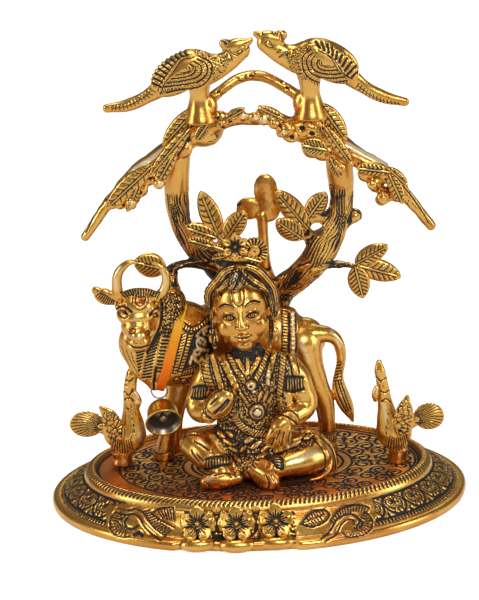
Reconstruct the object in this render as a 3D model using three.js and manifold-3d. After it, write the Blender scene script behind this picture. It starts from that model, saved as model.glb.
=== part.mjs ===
// A gilt cast-metal ornament: a seated child with a cow, under a tree whose leafy canopy
// carries two birds, on a stepped oval base with two peacocks. A bell hangs at the cow's neck.
// Millimetres, +Z up, the front towards -Y. The origin is the middle of the underside.
import * as THREE from "three";
import { mergeVertices } from "three/addons/utils/BufferGeometryUtils.js";
import Module from "manifold-3d";

const wasm = await Module();
wasm.setup();

// Driving dimensions
const BASE_HALF_WIDTH = 88.9;
const BASE_HALF_DEPTH = 63.5;
const PLATFORM_HALF_WIDTH = 74;
const PLATFORM_HALF_DEPTH = 45.7;
const RIM_TOP = 16;
const FLOOR = 14.2;
const GAP = 0.3;
const ON_FLOOR = FLOOR + GAP;
const HEAD = [-4.4, -5, 88.4];
const HEAD_TILT = -5;
const COW_Y = 17;
const TRUNK_TOP = 152;
const BIRD_SEAT = 170;
const BIRD_Y = 2;

const GOLD = { color: 0xd9a032, roughness: 0.28, metalness: 1 };
const BAND_COLOUR = { color: 0xf59a12, roughness: 0.35, metalness: 0 };
const WIRE_COLOUR = { color: 0xb9b4a8, roughness: 0.3, metalness: 1 };

// Solids from geometry, and geometry from solids

function solid(geometry) {
  const bare = geometry.index ? geometry.toNonIndexed() : geometry.clone();
  bare.deleteAttribute("normal");
  bare.deleteAttribute("uv");
  const merged = mergeVertices(bare, 1e-4);
  return new wasm.Manifold(
    new wasm.Mesh({
      numProp: 3,
      vertProperties: new Float32Array(merged.attributes.position.array),
      triVerts: new Uint32Array(merged.index.array),
    }),
  );
}

// A faceted round is drawn a little large, so that its flats and corners lie either side of it.
const facetScale = (sides) => 2 / (1 + Math.cos(Math.PI / sides));

const join = (solids) => solids.reduce((whole, next) => whole.add(next));

function piece(name, shape, look) {
  const { numProp, numVert, vertProperties, triVerts } = shape.getMesh();
  const positions = new Float32Array(numVert * 3);
  for (let i = 0; i < numVert; i++)
    positions.set(vertProperties.subarray(i * numProp, i * numProp + 3), i * 3);
  const geometry = new THREE.BufferGeometry()
    .setAttribute("position", new THREE.BufferAttribute(positions, 3))
    .setIndex(new THREE.BufferAttribute(triVerts, 1));
  geometry.computeVertexNormals();
  const mesh = new THREE.Mesh(geometry, new THREE.MeshStandardMaterial(look));
  mesh.name = name;
  return mesh;
}

// An ellipsoid at a place, with radii along X, Y and Z, turned by degrees about each axis.
function ballShape(at, radii, turn = [0, 0, 0], sides = 8) {
  const geometry = new THREE.SphereGeometry(1, sides, Math.max(3, Math.round(sides * 0.5)));
  const size = facetScale(sides);
  geometry.rotateX(Math.PI / 2).scale(...radii.map((radius) => radius * size));
  const [ax, ay, az] = turn.map(THREE.MathUtils.degToRad);
  return geometry.rotateX(ax).rotateY(ay).rotateZ(az).translate(...at);
}

const ball = (at, radii, turn, sides) => solid(ballShape(at, radii, turn, sides));
const small = (at, radii, turn) => ball(at, radii, turn, 5);

// A rounded limb through stations of [x, y, z, radius], pointed a little at both ends. Its
// section is round, or flattened by `flat` along the direction nearest to `up`.
function limbShape(stations, { sides = 6, flat = 1, up = [0, 1, 0] } = {}) {
  const places = stations.map(([x, y, z]) => new THREE.Vector3(x, y, z));
  const reference = new THREE.Vector3(...up);
  const last = places.length - 1;
  const along = (i) =>
    places[Math.min(i + 1, last)].clone().sub(places[Math.max(i - 1, 0)]).normalize();
  const vertices = [];
  places.forEach((place, i) => {
    const side = new THREE.Vector3().crossVectors(reference, along(i)).normalize();
    const top = new THREE.Vector3().crossVectors(along(i), side);
    const radius = stations[i][3] * facetScale(sides);
    for (let k = 0; k < sides; k++) {
      const angle = (k / sides) * 2 * Math.PI;
      const point = place
        .clone()
        .addScaledVector(side, Math.cos(angle) * radius)
        .addScaledVector(top, Math.sin(angle) * radius * flat);
      vertices.push(...point.toArray());
    }
  });
  const start = places[0].clone().addScaledVector(along(0), -0.6 * stations[0][3]);
  const finish = places[last].clone().addScaledVector(along(last), 0.6 * stations[last][3]);
  vertices.push(...start.toArray(), ...finish.toArray());
  const faces = [];
  for (let r = 0; r < last; r++)
    for (let k = 0; k < sides; k++) {
      const next = (k + 1) % sides;
      faces.push(r * sides + k, r * sides + next, (r + 1) * sides + k);
      faces.push(r * sides + next, (r + 1) * sides + next, (r + 1) * sides + k);
    }
  const startIndex = (last + 1) * sides;
  for (let k = 0; k < sides; k++) {
    const next = (k + 1) % sides;
    faces.push(startIndex, next, k, startIndex + 1, last * sides + k, last * sides + next);
  }
  return new THREE.BufferGeometry()
    .setAttribute("position", new THREE.BufferAttribute(new Float32Array(vertices), 3))
    .setIndex(faces);
}

const limb = (stations, form) => solid(limbShape(stations, form));

// A leaf plate in the XZ plane, from `at` towards `angle` degrees from +X.
function leaf(at, angle, length, width, thickness = 2) {
  const outline = new THREE.Shape();
  outline.moveTo(0, -0.1 * width);
  outline.bezierCurveTo(0.2 * length, -0.66 * width, 0.85 * length, -0.66 * width, length, 0);
  outline.bezierCurveTo(0.85 * length, 0.66 * width, 0.2 * length, 0.66 * width, 0, 0.1 * width);
  outline.closePath();
  const geometry = new THREE.ExtrudeGeometry(outline, {
    depth: thickness,
    bevelEnabled: false,
    curveSegments: 4,
  });
  geometry.translate(0, 0, -thickness / 2).rotateX(Math.PI / 2);
  geometry.rotateY(-THREE.MathUtils.degToRad(angle));
  return solid(geometry.translate(...at));
}

// A flower of five petals round a boss, turned back by `lean` degrees from upright.
function flower(at, radius, lean) {
  const profile = [
    [0, -0.2],
    [0.9, -0.1],
    [1, 0.12],
    [0.32, 0.02],
    [0.2, 0.22],
    [0, 0.26],
  ].map(([a, h]) => new THREE.Vector2(a * radius, h * radius));
  const geometry = new THREE.LatheGeometry(profile, 10);
  const position = geometry.attributes.position;
  for (let i = 0; i < position.count; i++) {
    const [x, z] = [position.getX(i), position.getZ(i)];
    const reach = Math.hypot(x, z) < 0.5 * radius ? 1 : 0.84 + 0.16 * Math.cos(5 * Math.atan2(x, z));
    position.setXYZ(i, x * reach, position.getY(i), z * reach);
  }
  geometry.rotateX(Math.PI).rotateX(THREE.MathUtils.degToRad(lean));
  return solid(geometry.translate(...at));
}

const boxBelow = (z) => solid(new THREE.BoxGeometry(300, 300, 60).translate(0, 0, z - 30));
const standing = (shape) => shape.subtract(boxBelow(ON_FLOOR));

// The base

const SKIRT_FOOT = 4.2;
const SKIRT_MIDDLE = 8.5;
const SKIRT_TOP = 11.6;
const SCROLLS = 18;

// The depth of the oval where its half width is `a`: the skirt is widest at the front.
function halfDepthAt(a) {
  if (a <= PLATFORM_HALF_WIDTH) return (a * PLATFORM_HALF_DEPTH) / PLATFORM_HALF_WIDTH;
  const share = (a - PLATFORM_HALF_WIDTH) / (BASE_HALF_WIDTH - PLATFORM_HALF_WIDTH);
  return PLATFORM_HALF_DEPTH + share * (BASE_HALF_DEPTH - PLATFORM_HALF_DEPTH);
}

function stepped() {
  const w = BASE_HALF_WIDTH;
  const p = PLATFORM_HALF_WIDTH;
  const profile = [
    [0, 0],
    [w - 0.8, 0],
    [w, 2.4],
    [w - 1.6, SKIRT_FOOT],
    [w - 4, SKIRT_FOOT],
    [w - 8.5, SKIRT_MIDDLE],
    [p + 0.8, SKIRT_TOP],
    [p, RIM_TOP - 1],
    [p - 1.6, RIM_TOP],
    [p - 4.2, FLOOR],
    [0, FLOOR],
  ].map(([a, z]) => new THREE.Vector2(a, z));
  const geometry = new THREE.LatheGeometry(profile, 2 * SCROLLS).rotateX(Math.PI / 2);
  const position = geometry.attributes.position;
  for (let i = 0; i < position.count; i++) {
    const [x, y, z] = [position.getX(i), position.getY(i), position.getZ(i)];
    const a = Math.hypot(x, y);
    if (a === 0) continue;
    const bearing = Math.atan2(x, y);
    const swell = z === SKIRT_MIDDLE ? 1.1 * Math.cos(SCROLLS * bearing) : 0;
    position.setXYZ(i, x * (1 + swell / a), (y / a) * (halfDepthAt(a) + swell), z + swell / 2);
  }
  return solid(geometry);
}

// Flowers with a scalloped foot at the front, between two fans.
function frontCarving() {
  const middle = -9.3;
  const parts = [];
  for (const step of [-1, 0, 1]) {
    const x = middle + step * 16.6;
    const y = -57.4 + Math.abs(step) * 1.4;
    parts.push(flower([x, y, 9.6], 8.2, -50));
    parts.push(ball([x, y - 3.2, 2.4], [8.2, 3.8, 3.2], [0, 0, 0], 6));
  }
  for (const side of [-1, 1]) {
    parts.push(small([middle + side * 8.3, -51.6, 11.6], [4.6, 3.4, 3.4]));
    parts.push(small([middle + side * 30, -51.4, 7.4], [7, 3.2, 3], [0, side * -16, side * 8]));
    parts.push(small([middle + side * 44, -45.4 - side * 2, 8], [7.4, 4, 3.2], [0, side * 10, side * 18]));
  }
  return parts;
}

const base = () => join([stepped(), ...frontCarving()]).subtract(boxBelow(0));

// The child

const shoulder = { left: [-18, -4, 60.6], right: [14.8, -4, 60] };
const elbow = { left: [-24.4, -6, 44], right: [21.2, -6, 43.4] };
const hand = { left: [-15.8, -14.6, 47.6], right: [9.8, -15, 35.4] };
const knee = { left: [-26.4, -11, 28.6], right: [24.4, -14, 22.4] };
const ankle = { left: [-16.4, -20.6, 23.6], right: [8.6, -22, 21.6] };
const wrist = [14.6, -12, 40.4];
const thick = (place, radius) => [...place, radius];

function childBody() {
  return [
    limb([
      [-3, -4, 18, 15], [-3, -3.6, 30, 13.4], [-2.2, -3, 44, 12.8], [-1.8, -3, 56, 13.6],
      [-1.8, -3.2, 63, 11], [-2.2, -3.4, 67, 7],
    ], { sides: 7, flat: 0.66 }),
    limb([thick(shoulder.left, 4.8), [-1.8, -3.4, 64, 5.4], thick(shoulder.right, 4.8)]),
    limb([[-2.4, -3.6, 62, 5.4], [-3.6, -4, 76, 5.2]]),
    limb([
      thick(shoulder.left, 5.4), [-21, -4.8, 56.2, 5], [-21.8, -5, 53.8, 6.3],
      [-22.8, -5, 51, 4.9], thick(elbow.left, 4.8), [-20.6, -11, 43.6, 4.4], thick(hand.left, 4.2),
    ]),
    limb([
      thick(shoulder.right, 5.4), [18.2, -4.8, 56, 5], [19, -5, 53.4, 6.3], [20, -5, 50.6, 4.9],
      thick(elbow.right, 4.8), thick(wrist, 3.7),
    ]),
    ball(hand.left, [5.8, 4.4, 6], [0, 30, 0], 6),
    limb([
      [16, -10.8, 41, 5], [13.6, -12.8, 39, 4.8], [12.4, -14.4, 37.4, 4.2], thick(hand.right, 4.2),
      [8, -15.4, 31.4, 2.8],
    ], { sides: 6 }),
  ];
}

function childLegs() {
  const lying = { up: [0, 0, 1] };
  return [
    limb([[-10, -5, 23, 8.4], [-19, -7, 27, 7.6], thick(knee.left, 6.2)]),
    limb([thick(knee.left, 6), [-21.6, -17, 26.4, 5.4], [-18.2, -19.4, 24.8, 5.4], thick(ankle.left, 5.2)]),
    limb([[6, -5, 22, 8.4], [16.4, -8, 23.4, 7.8], thick(knee.right, 6.4)]),
    limb([
      thick(knee.right, 6.4), [17, -19.4, 22, 5.8], [12.6, -21.2, 21.8, 4.4],
      [12, -21.4, 21.8, 5.4], thick(ankle.right, 5.2),
    ], lying),
    limb([
      [-15.6, -22, 21, 4], [-19, -25.4, 18.4, 4], [-13.6, -27.4, 18.6, 3.8], [-8, -27, 19, 3.2],
    ], lying),
    limb([
      [8.6, -24, 19, 4.4], [4.4, -27.2, 18.4, 4.2], [0.4, -26, 20, 3.6], [-2.8, -23.6, 21.6, 2.8],
    ], lying),
    ball([-3, -12, 19.4], [16, 11, 5.4]),
  ];
}

// The garland round the neck, two pendants and the end of the shawl.
function childOrnaments() {
  const parts = [];
  const garland = [];
  for (let k = 0; k <= 4; k++) {
    const t = (k / 4) * Math.PI;
    const deep = Math.sin(t);
    garland.push([-2 + 10 * Math.cos(t), -8.6 - 2.6 * deep, 63 - 20 * deep, 1.9]);
  }
  parts.push(limb(garland, { sides: 5 }));
  parts.push(ball([-1.9, -12, 54.4], [2.4, 1.6, 2.4], [0, 0, 0], 6));
  parts.push(ball([0.6, -12.4, 42.6], [3.7, 2, 3.7], [0, 0, 0], 6));
  parts.push(limb([
    [20, -4.6, 30, 3.6], [28, -8, 26.6, 3], [31, -13, 19.4, 2.4], [26.6, -19.4, 16, 1.6],
  ], { sides: 5, flat: 0.6, up: [1, 0, 0] }));
  return parts;
}

// The head is modelled about its own middle, then tilted and set in its place.
const onHead = (geometry) =>
  solid(geometry.rotateY(THREE.MathUtils.degToRad(HEAD_TILT)).translate(...HEAD));

function childHead() {
  const parts = [
    onHead(ballShape([0, 0, 0], [12.2, 12, 16.6], [0, 0, 0], 10)),
    onHead(ballShape([0, 1.8, 5], [13.8, 12, 14.4], [0, 0, 0], 8)),
    onHead(limbShape([[0, -11, -1, 1.2], [0, -12.4, -5, 1.9]], { sides: 4, up: [1, 0, 0] })),
  ];
  for (const side of [-1, 1]) {
    const lock = (dx, y, z, r) => [side * dx, y, z, r];
    const hair = [
      lock(1, -9, 15.6, 2.4), lock(7.6, -9.4, 11.4, 2.8), lock(13, -3.6, 4, 2.6),
      lock(13.6, 0.6, -8, 2.2),
    ];
    parts.push(onHead(limbShape(hair, { sides: 5 })));
    parts.push(onHead(ballShape([side * 12.6, 0, -12.6], [2.2, 2.4, 4.6], [0, 0, 0], 5)));
  }
  return join(parts);
}

// The knot of hair with its band and flower, and the fan of a peacock feather.
function childKnot() {
  const fan = new THREE.Shape();
  fan.moveTo(0, -3);
  fan.absarc(0, 2, 6, -0.35 * Math.PI, 1.35 * Math.PI, false);
  fan.closePath();
  const plate = new THREE.ExtrudeGeometry(fan, {
    depth: 2.4,
    bevelEnabled: false,
    curveSegments: 7,
  });
  plate.rotateX(Math.PI / 2).translate(2.4, -5, 113);
  return [
    ball([-5, -5, 108], [10.6, 8.6, 3.6]),
    ball([-4, -4, 112], [9, 6, 4.6], [0, 0, 0], 6),
    flower([-6, -9, 115.4], 5.8, -16),
    solid(plate),
  ];
}

const childFigure = () =>
  standing(join([...childBody(), ...childLegs(), ...childOrnaments(), childHead(), ...childKnot()]));

// The cow

function cowBody() {
  const y = COW_Y;
  return [
    limb([
      [-30, y - 3, 66, 13], [-19, y, 67, 14.8], [0, y, 66, 14.4], [11.4, y, 65, 14],
      [12, y, 65, 15], [15.4, y, 64.8, 14.8], [16, y, 64.6, 13.4], [25, y, 63, 10.6],
    ], { sides: 7, flat: 0.72 }),
    limb([
      [-23, 13, 68, 15], [-30, 9, 69, 18.6], [-35.4, 6, 68.4, 19.6], [-42, 3, 68, 17.4],
      [-50, 0.6, 71.4, 11],
    ], { sides: 7, flat: 0.62 }),
    ball([-37, 4, 81], [9.4, 8.4, 12], [0, 12, 0], 7),
    limb([
      [27, y, 70.4, 3.6], [32, y - 0.2, 70.4, 3], [35.8, y - 0.6, 67, 2.6],
      [37.4, y - 1.6, 60, 2.2], [36.6, y - 2.4, 45, 2.1], [38, y - 2.8, 37.6, 3.4],
      [41, y - 3, 28.6, 1.4],
    ], { sides: 4 }),
  ];
}

function cowHead() {
  const parts = [
    limb([
      [-48, -4, 95.6, 7.6], [-48.2, -5.6, 90, 8], [-48.2, -8.6, 83.4, 5.8],
      [-48.5, -10.6, 78.6, 5.2],
    ], { sides: 7, flat: 0.9 }),
    ball([-44, -1, 90], [10, 6, 6.4], [0, 0, 0], 6),
    limb([[-56, -4, 93.4, 1.8], [-60.6, -3.6, 95.6, 2.6], [-65.2, -3, 98, 1.2]], { sides: 5, flat: 0.6 }),
    limb([[-40.6, -4, 93, 1.8], [-36.6, -3, 91.6, 2.4], [-33, -2, 89.6, 1.4]], { sides: 5, flat: 0.6 }),
  ];
  for (const side of [-1, 1]) {
    const horn = (dx, z, r) => [-46.8 + side * dx, -4, z, r];
    parts.push(limb([
      horn(7.4, 94, 2.2), horn(10.4, 98, 2.2), horn(10.6, 104, 2), horn(7.8, 109, 1.7),
      horn(3, 110.4, 1),
    ], { sides: 5 }));
  }
  return parts;
}

function cowLegs() {
  const leg = (stations) => limb(stations, { sides: 5 });
  return [
    leg([
      [-31, 13, 58, 7], [-33.2, 12, 43, 4.8], [-37, 11.4, 32, 3.4], [-39.8, 11, 21, 3],
      [-40.6, 11, 16.6, 3.6],
    ]),
    leg([[-28, 22, 58, 7], [-31.4, 22, 42, 4.4], [-35, 21, 28, 3.2], [-36, 20.6, 16.6, 3.4]]),
    leg([
      [22.4, 14, 64, 9], [24.2, 12.6, 52, 6.4], [28.4, 11.6, 41, 4.4], [31, 11, 31, 3.5],
      [31, 10.6, 22.6, 3], [31.6, 10, 17, 3.4],
    ]),
    leg([
      [22, 22, 62, 8.6], [23.6, 22, 48, 5.8], [28, 21.6, 34, 3.8], [29.4, 21, 24, 3],
      [30, 20.6, 16.6, 3.4],
    ]),
  ];
}

// The saddle cloth on the near side, with its scalloped hem.
function saddleCloth() {
  const y = COW_Y;
  const sheet = limb([
    [-25, y - 1, 66.6, 15.6], [-12, y, 66.6, 15.9], [8, y, 65.4, 15.6],
  ], { sides: 7, flat: 0.72 });
  const side = solid(new THREE.BoxGeometry(23, 12, 22).translate(-15.5, y - 12, 61.6));
  const parts = [sheet.intersect(side)];
  for (let k = 0; k < 4; k++)
    parts.push(small([-25 + k * 5, y - 7.4, 52.4], [2.8, 2.4, 2.8]));
  return parts;
}

// The band round the cow's neck, the bell, its clapper and its wire

const BAND_MIDDLE = [-35.2, 6, 67.8];
const BAND_LONG = 20.6;
const BAND_DEEP = 12.8;
const BAND_WIDTH = 4;
const BAND_THICK = 1;
const BAND_TILT = THREE.MathUtils.degToRad(17);
const WIRE_RADIUS = 3.4;
const WIRE_THICK = 0.35;
const BELL_RADIUS = 8.3;
const BELL_LENGTH = 12.5;
const BELL_WALL = 1;
const BELL_AXIS = new THREE.Vector3(0.13, -0.87, -0.47).normalize();

function bandOf(extra) {
  const outline = new THREE.Shape();
  outline.absellipse(0, 0, BAND_DEEP + extra, BAND_LONG + extra, 0, 2 * Math.PI);
  const hole = new THREE.Path();
  const inside = BAND_THICK + extra;
  hole.absellipse(0, 0, BAND_DEEP - inside, BAND_LONG - inside, 0, 2 * Math.PI);
  outline.holes.push(hole);
  const width = BAND_WIDTH + 2 * extra;
  const geometry = new THREE.ExtrudeGeometry(outline, {
    depth: width,
    bevelEnabled: false,
    curveSegments: 10,
  });
  geometry.translate(0, 0, -width / 2).rotateX(Math.PI / 2).rotateZ(Math.PI / 2);
  return solid(geometry.rotateY(BAND_TILT).translate(...BAND_MIDDLE));
}

const bandFoot = new THREE.Vector3(...BAND_MIDDLE).add(
  new THREE.Vector3(-Math.sin(BAND_TILT), 0, -Math.cos(BAND_TILT)).multiplyScalar(BAND_LONG - 0.5),
);
const wireMiddle = bandFoot.clone().add(new THREE.Vector3(0, 0, -1.2));
const bellEye = wireMiddle.clone().add(new THREE.Vector3(0, 0, -WIRE_RADIUS));
const bellMouth = bellEye.clone().addScaledVector(BELL_AXIS, BELL_LENGTH + 1);

function wireOf(extra) {
  const geometry = new THREE.TorusGeometry(WIRE_RADIUS, WIRE_THICK + extra, 3, 12);
  return solid(geometry.rotateX(Math.PI / 2).translate(...wireMiddle.toArray()));
}

// Geometry drawn upright with its foot at the mouth, laid along the hanging bell.
function alongBell(geometry) {
  const down = new THREE.Vector3(0, -1, 0);
  const turn = new THREE.Quaternion().setFromUnitVectors(down, BELL_AXIS);
  return solid(geometry.applyQuaternion(turn).translate(...bellMouth.toArray()));
}

const turned = (profile, sides) =>
  new THREE.LatheGeometry(profile.map(([a, h]) => new THREE.Vector2(a, h)), sides);

function bell() {
  const r = BELL_RADIUS;
  const l = BELL_LENGTH;
  const w = BELL_WALL;
  const inside = [
    [0, l - w],
    [r * 0.55 - w, l - 1.5 * w],
    [r * 0.78 - w, l * 0.62],
    [r * 0.86 - w, l * 0.24],
    [r - w, 0],
  ];
  const outside = [
    [r, 0],
    [r * 0.88, l * 0.24],
    [r * 0.8, l * 0.64],
    [r * 0.58, l * 0.92],
    [0, l],
  ];
  const cup = alongBell(turned([...inside, ...outside], 10));
  const eye = new THREE.TorusGeometry(1.4, 0.45, 3, 6).rotateY(Math.PI / 2);
  return cup.add(alongBell(eye.translate(0, l + 1, 0)));
}

function clapper() {
  const top = BELL_LENGTH - BELL_WALL - GAP;
  return alongBell(turned([[0, 0.6], [1.9, 1.4], [1.9, 3], [0.5, 4.4], [0.5, top], [0, top]], 6));
}

// The tree

function wood() {
  const thin = { sides: 4 };
  return [
    limb([
      [9, 35, ON_FLOOR, 7.4], [9, 35, 20, 5.6], [9, 34, 66, 5.4], [12.4, 29.8, 81, 6],
      [21, 22, 91.4, 6], [30, 19.6, 103, 6.8], [37, 18, 116, 5.8], [40, 16, 128, 5.2],
      [39.6, 12, 143, 5.6], [38.8, 10, TRUNK_TOP, 5.2],
    ], { sides: 7 }),
    limb([
      [9, 31, 76, 5], [-5, 28, 83.6, 5.6], [-13.4, 24, 94, 5.2], [-21.4, 20, 105, 5.2],
      [-26.8, 18.6, 114.6, 5], [-29.2, 17, 125, 4.7], [-29.8, 14, 136, 5.4],
      [-28, 10.6, TRUNK_TOP, 5],
    ], { sides: 7 }),
    limb([[33, 18, 112, 4], [41, 17, 117.6, 3.4], [45.4, 17, 120, 3.2]], { sides: 6 }),
    limb([[28, 20, 97.5, 3.2], [35, 20, 97, 2.2], [42, 20, 96.4, 1.7], [46, 20, 95.4, 1.4]], thin),
    limb([
      [-13, 21, 96, 3.4], [-19, 20, 98.8, 2.6], [-26, 19, 100.4, 2.2], [-33, 17.6, 99.4, 2.2],
      [-37.4, 15.4, 97.8, 1.6],
    ], thin),
    limb([[-32.6, 17.6, 99.6, 2.2], [-33.4, 15, 94.6, 2.4], [-32.4, 11.6, 90.6, 2.8]], thin),
    limb([[8, 27, 86, 3.4], [6, 24, 96, 3], [6, 24, 110, 2.3], [5.8, 24, 119, 2.6]], thin),
    limb([[28.4, 19.4, 103, 3], [26, 18.6, 109, 2.6], [24.6, 18, 114, 1.8]], thin),
    limb([[-19, 21, 100, 3], [-14.6, 18.6, 106, 2.6]], thin),
  ];
}

// Each spray is a few leaves from one point: [angle, length, width] in degrees and millimetres.
const sprays = [
  { at: [43.4, 20, 95.6], leaves: [[24, 17, 8], [-14, 21.5, 10.4], [-72, 15.5, 10.4]] },
  { at: [25.4, 18, 111], leaves: [[116, 25, 10.8], [146, 16.4, 9.4], [56, 17.4, 9.6]] },
  { at: [-15, 18, 106.6], leaves: [[99, 26.6, 10.4], [54, 21.4, 11], [146, 18, 9]] },
  { at: [-34.8, 15.4, 97.6], leaves: [[169, 15.6, 11.4]] },
];

function leaves() {
  return sprays.flatMap((spray) =>
    spray.leaves.map(([angle, length, width], k) => {
      const [x, y, z] = spray.at;
      return leaf([x, y - 0.4 * k, z], angle, length, width);
    }),
  );
}

// The leaf seen from behind at the middle: three round lobes on a stalk.
function trefoil() {
  return [
    ball([7.8, 24, 130.6], [5.4, 1.4, 7.6]),
    ball([0.4, 24, 122.4], [6, 1.4, 5.4]),
    ball([8.4, 24, 122], [5.8, 1.4, 6.4]),
  ];
}

function tree() {
  const eye = new THREE.CylinderGeometry(2.8, 2.8, 20, 8).translate(29, 18, 115);
  return standing(join([...wood(), ...leaves(), ...trefoil()]))
    .subtract(solid(eye))
    .subtract(solid(new THREE.BoxGeometry(200, 200, 40).translate(0, 0, TRUNK_TOP + 20)));
}

// The canopy

const hub = { left: [-17.4, 6, 165], right: [27, 6, 164.6] };

function canopy() {
  const parts = [
    ball(hub.left, [9, 7.4, 7.4], [0, 0, 0], 6),
    ball(hub.right, [9, 7.4, 7.4], [0, 0, 0], 6),
    limb([
      [-19, 7, 165, 6], [-28.4, 8, 157.6, 5.2], [-37, 6, 152.6, 3.7], [-45.6, 4, 147, 3.2],
      [-54, 3, 139.6, 2.8], [-61, 2.6, 132, 2.4], [-69, 2, 120.5, 1.9],
    ], { sides: 5 }),
    limb([
      [28.6, 7, 165, 6], [37.4, 8, 157.6, 5.2], [45.4, 6, 151.6, 3.5], [54, 4, 146.4, 3.2],
      [62, 3, 140, 3], [69, 2.6, 131.4, 2.5], [77.4, 2, 119.8, 2],
    ], { sides: 5 }),
    limb([
      [-16, 3, 165.6, 4.2], [-9.6, 2, 169.6, 3.5], [-3, 2, 171, 3], [4, 2, 170.4, 2.6],
      [11, 2, 171, 3.4], [17.6, 3, 167.4, 3.8], [23, 3.4, 165.4, 4.2],
    ], { sides: 5 }),
    limb([
      [-14.6, 10.6, 164, 3.2], [-14.4, 12, 174.6, 2.7], [-9.4, 13, 179.6, 2.3], [4, 16, 185, 2.3],
      [18.4, 13, 179.8, 2.3], [24, 12, 174.6, 2.7], [24.4, 10.6, 164, 3.2],
    ], { sides: 5 }),
  ];
  const lobes = [
    [-29, 3.4, 161.6, 5.8], [-31.6, 2.6, 152.4, 5.2], [-39, 3, 146, 4.6], [-47, 2.2, 140, 5.4],
    [-55, 1.8, 134, 5], [39.4, 3.6, 163.4, 5.6], [29.6, 3, 155, 5.4], [52.6, 2.4, 142, 5.4],
    [61, 2, 134.6, 5.8], [-3, 1, 172.6, 3.4], [8.6, 1, 172.6, 3.6], [19.6, 0.6, 163.4, 4],
  ];
  for (const [x, y, z, size] of lobes)
    parts.push(small([x, y, z], [size, size * 0.6, size * 0.85], [0, Math.sign(x - 5) * 35, 0]));
  const post = (x, y, z, radius, sides) =>
    solid(new THREE.CylinderGeometry(radius, radius, 20, sides).rotateX(Math.PI / 2).translate(x, y, z));
  const seats = [hub.left, hub.right].map(([x, y]) => post(x, y - 3, BIRD_SEAT + 10, 8.6, 8));
  const trunks = [
    post(-28, 10.6, TRUNK_TOP + GAP - 10, 6.6, 8),
    post(38.8, 10, TRUNK_TOP + GAP - 10, 6.6, 8),
  ];
  return join(parts).subtract(join([...seats, ...trunks]));
}

// A crested bird on its flared peg, facing +X from its own middle when `way` is 1.
function bird([mx, mz], way, droop, footX) {
  const at = (x, z, r, y = 0) => [mx + way * x, BIRD_Y + y, mz + z, r];
  const tail = (x, z, r) => at(x, z - droop * ((-x - 8) / 29), r);
  const parts = [
    limb([
      tail(-37.4, -17, 1.4), tail(-28, -15.4, 2.3), tail(-18.4, -10.6, 2.8), at(-10.6, -4.6, 5.6),
      at(-3.6, 0, 8.6), at(3.6, 0.4, 8.2), at(10.6, 1.6, 5), at(15.8, 4.4, 3.9), at(20, 8.2, 3.8),
    ], { sides: 5, flat: 0.66 }),
    limb([at(16, 9.6, 3.4), at(21.4, 10.4, 3), at(24.8, 12.8, 1.2)], { sides: 5, flat: 0.7 }),
    small(at(13.6, 11.4).slice(0, 3), [2.6, 1.6, 2.2]),
    limb([
      [footX, BIRD_Y, mz - 3, 5], [footX, BIRD_Y + 0.6, 183, 4.3], [footX, BIRD_Y + 1, 178, 4.4],
      [footX, BIRD_Y + 1, 174, 5.6], [footX, BIRD_Y + 1, BIRD_SEAT - 1, 7.4],
    ], { sides: 5 }),
  ];
  for (const side of [-1, 1])
    parts.push(ball(at(-6, -1.6, 0, side * 3.4).slice(0, 3), [13.4, 3, 6.6], [0, way * -27, 0], 5));
  return join(parts).subtract(boxBelow(BIRD_SEAT + GAP));
}

// A peacock on the base, facing +X from its foot when `way` is 1.
function peacock([mx, my], way) {
  const at = (x, z, r, y = 0) => [mx + way * x, my + y, z, r];
  const parts = [
    limb([
      at(-3, 24.4, 4.6), at(2.4, 29.6, 6.2), at(4.4, 37.6, 3.9), at(5, 43.6, 3.7),
      at(5.4, 48, 2.7), at(5.6, 53, 3), at(5.8, 57.2, 1.6),
    ], { sides: 5 }),
    limb([at(5.6, 48, 2.4, -1), at(7, 44.4, 1.8, -2.2)], { sides: 5 }),
    ball(at(-4, 36.6).slice(0, 3), [4.6, 2.4, 8.6], [0, way * -34, 0], 6),
    limb([at(-5, 30, 3), at(-12, 33, 2.2)], { sides: 5 }),
    ball(at(-15.6, 34.4).slice(0, 3), [7.6, 2, 5.8], [0, way * 8, 0]),
    limb([at(0, 22, 4), [mx, my, 17.6, 3], [mx, my, ON_FLOOR, 3.6]], { sides: 5 }),
  ];
  return standing(join(parts));
}

// Everything in its place

const group = new THREE.Group();
const cow = standing(join([...cowBody(), ...cowHead(), ...cowLegs(), ...saddleCloth()]));

group.add(
  piece("base", base(), GOLD),
  piece("child_figure", childFigure(), GOLD),
  piece("cow", cow.subtract(bandOf(GAP)).subtract(wireOf(GAP)), GOLD),
  piece("neck_band", bandOf(0), BAND_COLOUR),
  piece("bell", bell(), GOLD),
  piece("bell_clapper", clapper(), GOLD),
  piece("bell_wire", wireOf(0), WIRE_COLOUR),
  piece("tree", tree(), GOLD),
  piece("canopy", canopy(), GOLD),
  piece("bird_left", bird([-20, 193.2], 1, -1.5, -18), GOLD),
  piece("bird_right", bird([31, 196], -1, 3.4, 28.4), GOLD),
  piece("peacock_left", peacock([-58, 4], 1), GOLD),
  piece("peacock_right", peacock([59.6, -2], -1), GOLD),
);

export default group;
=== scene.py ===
# The looks of a gilt cast-metal ornament: a seated child with a cow, a tree, a leafy canopy with two
# birds, and two peacocks on an oval base. Sizes are in millimetres unless a name says otherwise.
import math

import bmesh
import bpy
import numpy as np
from mathutils import Matrix, Vector


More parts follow.
